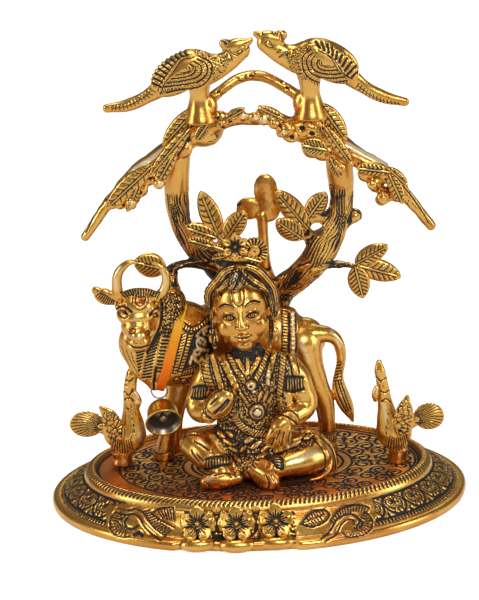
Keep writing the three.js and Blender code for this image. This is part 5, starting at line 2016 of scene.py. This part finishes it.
def make_cow():
    cow = clay("cow", [*cow_body(), *cow_head(), *cow_legs()], 0.4, 3)
    cut_below(cow, ON_FLOOR)
    skin = Skin(cow)
    carve_cow_face(skin)
    for *rails, count in COMBS:
        skin.comb(rails, count, 1.0, 0.6)
    skin.draw(NECK_LINES[:2], 1.5, 0.7)
    skin.draw(NECK_LINES[2:], 0.5, 0.25, 0.6)
    skin.curls(MANE, 1.15, 0.45)
    carve_cloth(skin)
    skin.ladder(RUMP_STRAP, 14)
    skin.draw([np.array(RUMP_BEADS) + [-3.4, 0]], 1.0, 0.5)
    skin.draw([np.array(RUMP_BEADS) + [3.4, 0]], 0.8, 0.4)
    for at in spaced(curve(RUMP_BEADS), 10):
        skin.boss(at, 1.9, 0.6)
    # A painted highlight along the rump beads
    skin.paint_highlight(curve(RUMP_BEADS), 2.4, 0.8)
    skin.ladder(TAIL_RINGS, 7, 0.6, 0.35, 0.3)
    skin.draw(TUFT_LINES, 0.8, 0.5)
    skin.ladder(ANKLET, 7, 0.5, 0.3, 0.5)
    skin.draw(LEG_LINES, 0.6, 0.3)
    # Copper warmth low down is a painted reflection of the base's orange gold; the clouds are a random
    # copper tone
    skin.warm += 0.4 * smoothstep((40 - skin.co[:, 2]) / 16) + 0.35 * skin.clouds(14)
    skin.finish(cavity=0.9)
    dress(cow, GOLD, "antique_gold", "cow")


make_cow()

# The child

HEAD = [-4.4, -5, 88.4]
HEAD_TILT = -5
SHOULDER_LEFT, SHOULDER_RIGHT = [-18, -4, 60.6], [14.8, -4, 60]
ELBOW_LEFT, ELBOW_RIGHT = [-24.4, -6, 44], [21.2, -6, 43.4]
HAND_LEFT = [-15.8, -14.6, 47.6]
KNEE_LEFT, KNEE_RIGHT = [-26.4, -11, 28.6], [24.4, -14, 22.4]
ANKLE_LEFT, ANKLE_RIGHT = [-16.4, -20.6, 23.6], [8.6, -22, 21.6]

GARMENT = [(222, 350), (277, 347), (289, 353), (290, 378), (284, 392), (290, 416), (272, 424), (266, 440),
    (250, 455),
           (238, 468), (214, 434), (214, 424), (232, 412), (234, 394), (222, 388), (211, 392), (200, 364),
           (208, 352)]
NECK_SHADOW = [(220, 343), (277, 341), (276, 351), (266, 356), (256, 361), (248, 362), (238, 360),
    (228, 357), (219, 351)]
SCARF_STRIPS = [
    ([(212.4, 355), (215.6, 368), (219.6, 382), (222, 391)], 2.7),
    ([(221.6, 356), (228, 371), (236.6, 390)], 3.4),
    ([(238, 361), (242, 367), (246.4, 374)], 2.4), ([(259, 358.4), (255, 365), (250.8, 372)], 2.6),
    ([(275, 349), (271.6, 364), (266.4, 384)], 2.6), ([(247.4, 360), (247.4, 366), (247.6, 371)], 1.8),
    ([(290, 351), (293.6, 362), (296, 374)], 3.0),
]
ROPES = [
    ([(204.6, 359), (206.6, 374), (211.6, 390)], 8.2, 9),
    ([(229.4, 356.6), (236.6, 370), (245.4, 383.4)], 5.8, 10),
    ([(267.8, 351.6), (262.4, 366), (255.6, 380)], 6.4, 11),
    ([(283.4, 355), (282, 372), (279.6, 392)], 6.6, 12),
    ([(235.6, 419), (242.6, 427.6), (252.6, 432.8), (264, 434)], 8.0, 13),
    ([(238, 389), (246, 402), (250, 408)], 4.4, 6),
]
FINE_LINES = [
    [(279.4, 351), (277, 366), (274.6, 386)], [(232, 392), (240, 402), (249, 404)],
    [(266, 384), (262, 393), (258, 402)],
    [(270, 388), (266, 397), (262, 404)], [(262, 386), (260, 394)], [(274, 392), (270, 402), (266, 412)],
]
LAP_PETALS = [
    ((244, 443), (256, 436), 2.6), ((251, 449), (262, 441), 2.6), ((261, 452), (271, 444), 2.4),
    ((256, 458), (268, 453), 2.0),
    ((275, 453), (287, 448), 2.2), ((286, 448), (301, 441), 2.6), ((291, 441), (305, 434), 2.4),
    ((303, 439), (314, 434), 2.0),
    ((217, 430), (225, 438), 2.4), ((222, 439), (232, 445), 2.4), ((228, 447), (238, 452), 2.2),
    ((233, 455), (241, 462), 2.2),
    ((227, 431), (233, 438), 2.0), ((240, 452), (246, 446), 2.0),
]
CHEST_PETALS = [((258, 402), (262, 391), 1.8), ((263, 403), (268, 390), 1.8),
    ((268, 404), (272, 394), 1.6), ((267, 378), (268.6, 386), 2.2),
                ((244, 398), (239, 392), 1.6), ((250, 376), (247, 380), 1.2)]
ARMLETS = [([(286.6, 378.6), (294, 377.4), (302.4, 378)], [(286.4, 390.6), (294, 391), (303, 389)], 7),
           ([(193.6, 388), (200, 386.6), (206.6, 387.6)], [(192, 397.4), (199, 398.4), (205.6, 397)], 6)]
ANKLETS = [([(206.4, 459.6), (217, 457), (228.4, 456)], [(205.6, 469.6), (217, 466), (229.4, 463.4)], 9),
           ([(267, 457), (272, 460), (277, 467)], [(277, 454.6), (281.6, 460), (281.8, 469)], 6)]
BANGLES = [[(279, 414.4), (287, 416.6), (293.4, 421.4), (297.6, 424.6)],
    [(284, 411), (291.4, 410.6), (297, 415.6), (299, 421)]]
FIST = [(204.6, 409), (209, 398), (220, 390), (231, 391), (234.4, 398), (230.4, 412), (219, 419.6),
    (208, 418)]
FIST_LINES = [([(210.8, 404), (214.4, 400.8), (217.8, 396.8)], 1.1),
    ([(214.8, 413.4), (221, 407.4), (227.8, 400)], 1.7),
              ([(221, 411.4), (227, 405), (229.6, 400.6)], 0.9),
              ([(202.6, 411.4), (206, 415), (211, 418.4)], 0.7),
              ([(204.8, 404.6), (207, 410), (212, 415)], 0.6)]
FINGER_LINES = [[(271, 434), (273.6, 430)], [(276.4, 440), (280, 430.6)], [(281.4, 446), (284, 433)],
    [(288, 444), (289.6, 433)],
                [(266.4, 433), (270, 426)], [(271.4, 445), (274.4, 438)]]
KNEE_LINES = [([(188, 435), (193, 434.2), (199, 435)], 0.9),
    ([(194.4, 441), (201, 444.6), (209.4, 450.4)], 1.1),
              ([(191, 450), (194, 456), (199, 462)], 0.7), ([(197, 454.6), (203.4, 461)], 0.8)]
LAP = [(213, 425), (222, 418), (236, 421), (244, 430), (262, 437), (268, 446), (290, 449), (300, 434),
    (312, 431), (318, 437),
       (312, 446), (280, 456), (262, 458), (240, 476), (231, 455), (216, 436)]
HAND = [(264, 443), (270, 424), (280, 412), (296, 416), (298, 426), (290, 446), (276, 451)]
KNEE_WRAP = [(315, 436.6), (325, 445), (330.4, 458), (329, 470), (320, 478), (311, 480)]
WRAP_SHADE = [[(314, 440), (322, 448), (326, 460), (323, 470), (312, 477)],
    [(320, 436), (331, 448), (335, 462), (335, 470)]]
FOOT_LINES = [([(240.6, 472), (243.4, 478), (241.6, 484)], 0.9),
    ([(206, 482), (209, 486), (210, 489)], 0.7), ([(214, 475.4), (226, 473.4), (238, 474.4)], 0.6),
              ([(252, 464.6), (256, 467.6)], 0.7), ([(266, 476), (269, 482), (268, 489)], 0.9),
              ([(271, 474), (274, 482)], 0.5),
              ([(246.4, 472), (250, 476)], 0.6), ([(230, 473), (231, 478)], 0.5),
              ([(235, 473), (236, 478)], 0.5)]


# Parts of the child, in the picture: across, down, radius and, where given, y in millimetres
LEFT_SHAWL_END = [(213, 361, 7.6), (213, 370, 8.6), (218, 380, 9), (225, 392, 8), (229, 400, 6)]
RIGHT_SHAWL_END = [(278, 359, 8), (281, 368, 9), (282, 382, 9.4), (284, 398, 9), (287, 412, 7)]
CLOSED_HAND = [(209, 416, 8), (214, 409.4, 11.6), (220.6, 402, 12.4), (227, 396, 9.4)]
OPEN_HAND = [(293, 418, 8, -12), (285, 423, 9, -14), (279, 428, 8, -15.4)]
FINGERS = [
    [(273, 430, 3.8), (269, 437, 3.4), (266.6, 442.6, 2.4)],
    [(278, 433, 3.6), (275.4, 441, 3.3), (273.4, 447, 2.4)],
    [(283, 433, 3.5), (281.6, 442, 3.3), (280.4, 448.6, 2.4)],
    [(288, 430, 3.4), (288.4, 439, 3.2), (287, 446, 2.3)],
]
LEFT_FOOT = [(207, 482, 7.6), (217, 480.6, 8.8), (229, 479.4, 7.8), (239, 478, 5.4)]
RIGHT_FOOT = [(271, 483, 10), (262, 476, 9.6), (254, 470, 7.8), (249.6, 467, 5.6)]
WRAP_EDGES = [
    [(306, 432, 6, -6), (320, 440, 4.4, -9), (328.6, 452, 4, -12), (329.4, 466, 4, -15),
    (322, 476, 3.2, -18.6),
     (311, 480, 2.6, -20.4)],
    [(322, 436, 2.4, -6), (331, 447, 2, -8), (335, 460, 2, -10), (335.4, 471, 2.4, -11)],
]


def child_body():
    return [
        limb([[-3, -4, 18, 15.4], [-3, -3.6, 30, 14.4], [-2.2, -3, 44, 14], [-1.8, -3, 56, 14.2],
              [-1.8, -3.2, 63, 11.4], [-2.2, -3.4, 67, 7]], 0.68),
        ball([-2, -6.4, 40], [10.4, 6, 9]),
        limb([[*SHOULDER_LEFT, 4.8], [-1.8, -3.4, 64, 5.4], [*SHOULDER_RIGHT, 4.8]]),
        limb([[-2.4, -3.6, 62, 5.4], [-3.6, -4, 76, 5.2]]),
        limb([[*SHOULDER_LEFT, 5.6], [-21, -4.8, 56.2, 5.4], [-22.8, -5, 51, 5.2], [*ELBOW_LEFT, 5.2],
              [-20.6, -11, 43.6, 4.6], [*HAND_LEFT, 4.2]]),
        limb([[*SHOULDER_RIGHT, 5.6], [18.2, -4.8, 56, 5.4], [20, -5, 50.6, 5.2], [*ELBOW_RIGHT, 5.2],
              [15.6, -12, 40.6, 4.4]]),
        limb(spots(-9, LEFT_SHAWL_END), 0.6),
        limb(spots(-9, RIGHT_SHAWL_END), 0.6),
        limb(spots(-14.6, CLOSED_HAND), 0.85),
        limb(spots(-14, OPEN_HAND), 0.8),
        *[limb(spots(-16.4, finger), 0.9) for finger in FINGERS],
        limb([[-10, -5, 23, 8.8], [-19, -7, 27, 8], [*KNEE_LEFT, 6.4]]),
        limb([[*KNEE_LEFT, 6.6], [-23, -16, 27, 6.4], [-19, -19.6, 24.8, 5.4], [*ANKLE_LEFT, 4.6],
              [-14.6, -23, 20, 4.4]]),
        limb([[6, -5, 22, 8.8], [16.4, -8, 23.4, 8], [*KNEE_RIGHT, 6.6]]),
        limb([[*KNEE_RIGHT, 6.8], [19, -18.4, 22.4, 6.2], [13, -21, 22.2, 5], [*ANKLE_RIGHT, 4.6]]),
        limb(spots(-25.4, LEFT_FOOT), 0.9),
        limb(spots(-25.6, RIGHT_FOOT), 0.9),
        ball([-3, -12, 19.4], [16, 11, 6]),
        *[limb(spots(0, edge), 0.9) for edge in WRAP_EDGES],
    ]


def rope_relief(skin, line, width, count):
    """A twisted rope: slanting strokes between two black edges."""
    line = curve(line)
    ahead, side = ahead_and_across(line)
    side *= width / 2
    slant = ahead * width * 0.2
    skin.ridge(line, width / 2, 0.5)
    skin.hatch([line + side * 0.82 - slant, line - side * 0.82 + slant], count, 0.62, 0.4)
    skin.groove(line + side, 0.85, 0.5)
    skin.groove(line - side, 0.85, 0.5)


def carve_garments(skin):
    skin.curls(GARMENT, 1.0, 0.45)
    skin.curls(LAP, 1.5, 0.5, seed=4)
    for start, tip, width in LAP_PETALS:
        skin.petal(start, tip, width, 1.0)
    skin.dark[skin.inside(NECK_SHADOW)] = 1.0
    for line, width in SCARF_STRIPS:
        line = curve(line)
        side = ahead_and_across(line)[1]
        skin.ridge(line, width, 0.5)
        for way in (-1, 1):
            skin.groove(line + side * way * (width + 0.7), 0.9, 0.5)
    for rope in ROPES:
        rope_relief(skin, *rope)
    skin.draw(FINE_LINES, 0.6, 0.3)
    for start, tip, width in CHEST_PETALS:
        skin.petal(start, tip, width, 0.9)


PENDANTS = [((251.2, 385.4), 5.6), ((257.2, 412.4), 8.0)]
PENDANT_EYE = [(250.8, 386.2), (251, 386.2)]
PENDANT_DROP = (253.4, 391.8)
# Painted highlights on the child, in the picture: points or lines and their radius
CHILD_HIGHLIGHTS = [
    ([(268, 372), (268.6, 384)], 3), ((289, 366), 5), ([(292, 462), (316, 452)], 5), ((224, 399), 4),
    ([(206, 480), (212, 478)], 3), ((255, 394), 2), ([(246, 443), (255, 437)], 2),
    ([(253, 449), (261, 442)], 2),
    ([(288, 447), (299, 442)], 2), ((240, 426), 2), ((247, 431), 2), ((262, 396), 2.4), ((268, 396), 2.4),
    ([(199, 440), (204, 446)], 3), ((293, 384), 3), ((273, 482), 3),
]


def carve_pendants(skin):
    # Each pendant and the drop get a painted highlight that makes them pale
    for at, radius in PENDANTS:
        near, far = skin.near([at, at], radius)
        skin.clear(near)
        skin.rise[near] = 1.3 * smoothstep(2.2 * (1 - far / radius))
        skin.paint_highlight(at, radius)
        skin.groove(oval(at, radius + 0.8, radius + 0.8), 1.0, 0.5, 1.0)
    skin.groove(PENDANT_EYE, 1.7, 0.6)
    skin.boss(PENDANT_DROP, 2.0, 0.8)
    skin.paint_highlight(PENDANT_DROP, 2.2)
    skin.groove(oval(PENDANTS[1][0], 4.5, 4.5), 1.2, 0.6, 1.0)
    # Painted highlights on the chest, shoulder, shin, lap and feet
    skin.paint_highlights(CHILD_HIGHLIGHTS, 0.7)


def carve_limbs(skin):
    fist = skin.inside(FIST)
    skin.clear(fist)
    skin.rise[fist] = 0.0
    skin.draw([[*FIST, FIST[0]]], 0.7, 0.3)
    for line, width in FIST_LINES + KNEE_LINES + FOOT_LINES:
        skin.groove(curve(line), width, 0.45)
    hand = skin.inside(HAND)
    skin.dark[hand] *= 0.1
    skin.cut[hand] = 0.0
    skin.rise[hand] = 0.0
    skin.draw(FINGER_LINES, 0.75, 0.4)
    for line in BANGLES:
        skin.draw([line], 0.8, 0.4)
        skin.ridge(curve(np.array(line) + [-0.6, 2.2]), 1.3, 0.5)
    for rail_a, rail_b, count in ARMLETS + ANKLETS:
        clear = skin.inside([*rail_a, *rail_b[::-1]])
        skin.draw([rail_a, rail_b], 2.4, 0.5, 1.2)
        skin.rise[clear] = 0.5
        skin.dark[clear] = 0.0
        skin.ladder([rail_a, rail_b], count, 1.1, 0.6, 1.3)
    skin.ridge(curve(KNEE_WRAP), 2.0, 0.4)
    skin.draw(WRAP_SHADE, 0.9, 0.5)


def make_body():
    body = clay("child_figure", child_body(), 0.44, 3)
    cut_below(body, ON_FLOOR)
    skin = Skin(body)
    carve_garments(skin)
    carve_limbs(skin)
    carve_pendants(skin)
    x, _, z = skin.co.T
    # Copper warmth low down is a painted reflection of the base's orange gold; the clouds are a random
    # copper tone
    skin.warm += 0.55 * smoothstep((25 - z) / 9) + 0.25 * skin.clouds(12)
    shawl_back = (skin.normal[:, 1] > 0.35) & (z > 30) & (z < 66)
    skin.sink(stripes(x, 3.2, 0.4) * shawl_back, 0.3, 0.9)
    return skin.finish(cavity=0.9)


HEAD_NOD = 6


def to_head(places):
    """Places about the head's own middle, nodded back, tilted and set in the child's place."""
    x, y, z = places.T
    y, z = turn(y, z, -HEAD_NOD)
    x, z = turn(x, z, -HEAD_TILT)
    return np.stack([x, y, z], 1) + np.array(HEAD)


def head_shapes():
    parts = [
        ball([0, 0.6, 2.6], [12.0, 12.0, 13.8], segments=64),
        ball([0, -1.8, -4.6], [10.8, 9.4, 11.0], segments=48),
        ball([0, -3.6, -10.0], [7.6, 7.2, 6.6], segments=48),
        limb([[0, -11.0, 3.0, 0.9], [0, -12.0, -1.0, 1.15], [0, -12.8, -4.6, 1.6]]),
        ball([0, -13.0, -5.2], [1.7, 1.5, 1.4]),
        limb([[-3.0, -10.2, -9.7, 0.6], [0, -11.2, -9.3, 0.85], [3.0, -10.2, -9.7, 0.6]]),
        limb([[-2.3, -10.1, -10.9, 0.6], [0, -10.9, -11.2, 0.95], [2.3, -10.1, -10.9, 0.6]]),
        ball([0, -7.7, -14.2], [3.4, 2.6, 2.5]),
    ]
    for side in (-1, 1):
        parts += [
            ball([side * 1.8, -12.0, -5.5], [1.1, 1.1, 0.95]),
            ball([side * 5.1, -9.4, -0.8], [2.9, 2.0, 1.7], segments=32),
            ball([side * 4.8, -6.2, -6.4], [5.6, 3.5, 5.4], segments=32),
            limb([[side * 2.2, -11.2, 3.4, 0.6], [side * 5.2, -10.4, 4.6, 0.7],
                [side * 8.6, -8.2, 3.4, 0.5]]),
            ball([side * 12.0, 0.8, -3.0], [1.6, 2.8, 4.0]),
        ]
    return parts


# Half of the face, seen from the front in millimetres about the head's middle. Each line has its half
# width, its depth and how dark it is.
EYE_MIDDLE = (5.15, -0.8)
FACE_LINES = [
    ([(2.5, -1.3), (3.7, -0.1), (5.2, 0.4), (6.7, 0.1), (8.1, -1.0)], 0.44, 0.4, 1.35),
    ([(2.5, -1.3), (3.8, -2.1), (5.2, -2.35), (6.7, -2.0), (8.1, -1.0)], 0.34, 0.3, 1.3),
    ([(2.6, 0.4), (3.9, 1.4), (5.4, 1.7), (7.1, 1.3), (8.4, 0.3)], 0.22, 0.18, 0.9),
    ([(2.3, 3.6), (4.2, 4.8), (6.4, 5.0), (8.9, 3.5)], 0.42, 0.28, 1.3),
    ([(1.6, -6.3), (2.5, -6.5), (3.0, -5.6), (2.6, -4.8)], 0.22, 0.22, 0.9),
    ([(0.9, -6.7), (1.3, -6.7)], 0.34, 0.3, 1.2),
    ([(3.3, -9.3), (3.7, -9.7), (3.6, -10.2)], 0.24, 0.2, 0.8),
]
MOUTH = [(-3.2, -9.8), (-1.6, -10.3), (0, -10.1), (1.6, -10.3), (3.2, -9.8)]
CHIN_LINE = [(-1.7, -12.6), (0, -12.9), (1.7, -12.6)]
FOREHEAD_MARK = [(-1.7, 10.0), (-1.6, 7.4), (-1.1, 5.9), (0, 5.3), (1.1, 5.9), (1.6, 7.4), (1.7, 10.0)]
FOREHEAD_MIDDLE = np.array([0, 8.0])


def carve_face(skin):
    skin.draw_on(skin.co[:, [0, 2]], skin.normal[:, 1] < -0.15)
    for side in (-1, 1):
        middle = np.array(EYE_MIDDLE) * [side, 1]
        skin.groove(oval(middle, 3.7, 2.5, 30), 1.0, 0.35, 0.0)
        skin.groove(oval(middle, 1.0, 1.0, 30), 0.26, 0.2, 1.3)
        skin.groove([middle, middle + [0, 0.05]], 0.46, 0.2, 1.35)
        for line, width, depth, dark in FACE_LINES:
            skin.groove(curve(np.array(line) * [side, 1]), width, depth, dark)
    skin.draw([MOUTH], 0.32, 0.4, 1.3)
    skin.draw([CHIN_LINE], 0.26, 0.2, 0.6)
    mark = curve(FOREHEAD_MARK)
    skin.ridge(mark, 0.62, 0.3)
    skin.groove(FOREHEAD_MIDDLE + (mark - FOREHEAD_MIDDLE) * 1.55, 0.26, 0.22, 1.2)


# Locks of hair, in the picture: across, down, radius and y
LOCKS = [
    [(236, 267.6, 4.2, -9.4), (226, 271, 4.8, -9.8), (217, 281.6, 4.8, -8), (210, 289, 4.4, -7),
    (207.4, 297, 3.8, -6), (208.4, 305, 3, -5.6),
     (211, 310, 1.6, -5.6)],
    [(247, 266.6, 4.2, -9.0), (257, 270.6, 5.0, -9.0), (267, 280.6, 4.8, -7), (273, 289, 4.2, -6.2),
    (275.6, 299, 3.6, -5.6), (276.4, 309, 3, -5.4),
     (275, 317, 1.6, -5.2)],
    [(236, 276, 3.6, -10.4), (229, 281, 4.2, -11.6), (221.6, 287, 4.2, -12.2), (217.4, 292.4, 3.2, -11.6),
    (219.6, 296.6, 1.8, -12)],
    [(243, 271, 3.6, -7.4), (250, 278.6, 4.6, -11), (259, 284.6, 4.4, -12.2), (267, 290, 3.6, -11),
    (270.4, 297, 2.4, -9.4)],
    [(240, 275, 3, -9.8), (246, 282.6, 3.6, -13.2), (252.6, 287.4, 3, -14.6), (259, 289.6, 1.8, -14.2)],
    [(238, 268, 3.8, -10.4), (235, 276, 5.2, -13), (232, 285, 4.2, -14.8), (227.6, 291.8, 2.2, -15)],
    [(243, 268, 4.0, -10.4), (243, 276, 4.8, -12.8), (240, 284, 4.2, -14.8), (236, 290.4, 2.4, -16)],
    [(268, 293, 3, -8.4), (271.4, 301, 3.6, -7.4), (272.4, 310, 3, -7), (271, 318, 1.8, -6.8)],
    [(212.6, 309, 2.4, -7.4), (212.4, 325, 2.2, -7), (215, 347, 2.2, -7.6)],
    [(270.6, 316, 2.2, -7.4), (270.6, 330, 2.2, -7.2), (270, 346, 2.2, -7.8)],
]


def hair_shapes():
    return [
        ball([-4.4, -2.4, 92.4], [13.0, 11.0, 13.2], segments=48),
        limb([[-4.4, 2.4, 96, 11], [-4.4, 3.6, 86, 10.8], [-4.4, 2.6, 76, 8]], 0.8),
        *[limb(spots(-8, lock)) for lock in LOCKS],
    ]


# A painted highlight on the tuft of hair above the brow
HAIR_HIGHLIGHT = [(236, 275), (233, 283)]
# Strokes along a lock: how far across it each one runs, and its half width
LOCK_STROKES = ((-0.92, 0.9), (-0.3, 0.5), (0.34, 0.5), (0.92, 0.9))


def carve_hair(skin):
    x, _, z = (skin.co - np.array([-4.4, -2.4, 88])).T
    wave = 0.9 * (grain(skin.co, 5, 4) - 0.5)
    strands = stripes(np.arctan2(x, z + 3) * 6.0 + wave, 1, 0.12, 1.3)
    skin.sink(strands * (skin.normal[:, 1] > -0.35), 0.35, 1.1)
    for lock in LOCKS:
        line = curve([point[:2] for point in lock])
        shares = np.linspace(0, 1, len(line))
        half = np.interp(shares, np.linspace(0, 1, len(lock)), [point[2] for point in lock])
        side = ahead_and_across(line)[1]
        for share, width in LOCK_STROKES:
            skin.groove(line + side * (half * share)[:, None], width, 0.35, 1.25)
    # Painted highlight
    skin.paint_highlight(HAIR_HIGHLIGHT, 4, 0.8)


def earring(side):
    drops = [([12.8, -2.6, -8.2], [1.7, 1.5, 1.7]), ([12.9, -2.8, -11.4], [2.3, 1.7, 2.4]),
             ([12.9, -2.8, -14.6], [1.2, 1.1, 1.3])]
    places = to_head(np.array([at for at, _ in drops]) * [side, 1, 1])
    return [ball(at, size) for at, (_, size) in zip(places, drops)]


def make_head():
    head = clay("head", head_shapes(), 0.33, 2)
    skin = Skin(head)
    carve_face(skin)
    skin.warm += 0.3 * skin.clouds(9)
    skin.finish(cavity=0.4, wear=0.2)
    write(head, to_head(read(head)))
    hair = clay("hair", [*hair_shapes(), *earring(-1), *earring(1)], 0.4, 1)
    skin = Skin(hair)
    carve_hair(skin)
    skin.finish(cavity=0.9)
    return [head, hair]


KNOT_LEAVES = [((228, 256), (212, 259), 8, -9.6), ((227, 251), (213, 246), 9, -8.6),
    ((230, 246), (219, 236), 9, -7.4), ((243, 257), (262, 262), 8, -10)]
KNOT_STRANDS = [
    [(214, 258), (222, 251), (232, 248), (246, 249)],
    [(213, 262), (222, 256), (234, 254), (250, 256), (260, 262)],
    [(216, 254), (224, 246), (233, 242)], [(240, 243), (252, 245), (262, 253)],
    [(214, 268), (224, 271), (240, 272), (256, 270), (263, 266)],
    [(218, 275), (230, 276), (246, 276), (258, 273)], [(246, 262), (256, 262), (262, 258)],
]


KNOT_GROOVE = [(214, 260), (228, 264.6), (246, 264.6), (262, 259)]
KNOT_FLOWER = (235, 246)
KNOT_BEAD = (234, 256.4)
KNOT_FAN = (254.5, 250.6)
FAN_RADIUS = 5.7
FAN_EYE = 0.44


def feather_fan():
    """An upright plate with ribs that spread from its middle, and a ring round the eye."""
    y = -7.4
    x, z = place(*KNOT_FAN, y)
    t, f = spread(22, 144)
    rib = smoothstep(0.5 + 1.6 * np.cos(f * 20))
    r = t * FAN_RADIUS * (0.95 + 0.05 * rib)
    eye = np.clip(1 - (r / (FAN_EYE * FAN_RADIUS)) ** 2, 0, 1)
    gap = (1 - rib) * (t > 0.5)
    collar = smoothstep(1.5 - np.abs(r - 0.46 * FAN_RADIUS) / 0.42)
    dark = np.clip(gap + collar * (np.cos(f) < 0.75) + smoothstep(1.5 - r / 0.5) * 0.8, 0, 1)
    height = 1.0 + 0.55 * rib * (t > 0.5) + 0.5 * np.sqrt(eye) - 0.5 * dark
    plate = disc("fan", [x, y, z], r, f, height, np.full_like(r, 1.2), dark)
    face_outwards(plate)
    return plate


def make_knot():
    bun = [
        ball([-4.8, -3, 109], [9.8, 7.4, 3.8]),
        ball([-4, -4, 112], [9.6, 6.6, 5.0]),
        ball([-4.6, -2.6, 104], [8.4, 6.4, 4.0]),
    ]
    knot = clay("knot", bun, 0.36, 2)
    skin = Skin(knot)
    x, y, z = skin.co.T
    wave = 0.5 * z + 1.6 * (grain(skin.co, 4.5, 6) - 0.5)
    strands = stripes(np.arctan2(x + 4.6, y + 4) * 5.5 + wave, 1, 0.13, 1.3)
    skin.sink(strands * (np.abs(z - 106.6) > 1.4), 0.35, 1.0)
    skin.draw(KNOT_STRANDS, 0.8, 0.4)
    skin.draw([KNOT_GROOVE], 4.4, 0.3, 1.3)
    skin.finish(cavity=1.0)
    fx, fz = place(*KNOT_FLOWER, -10.2)
    flower = petal_flower([fx, -11.0, fz], 6.0, 6, -12, boss=0.16, point=0.7)
    bx, bz = place(*KNOT_BEAD, -12)
    bead = ball([bx, -12.0, bz], [1.5, 1.4, 1.5])
    paint(bead, np.zeros(len(bead.data.vertices)))
    leaves = [picture_leaf(*sizes, veins=4) for sizes in KNOT_LEAVES]
    return [knot, flower, bead, *leaves, feather_fan()]


figure = join("child_figure", [make_body(), *make_head(), *make_knot()])
dress(figure, GOLD, "antique_gold", "child_figure")
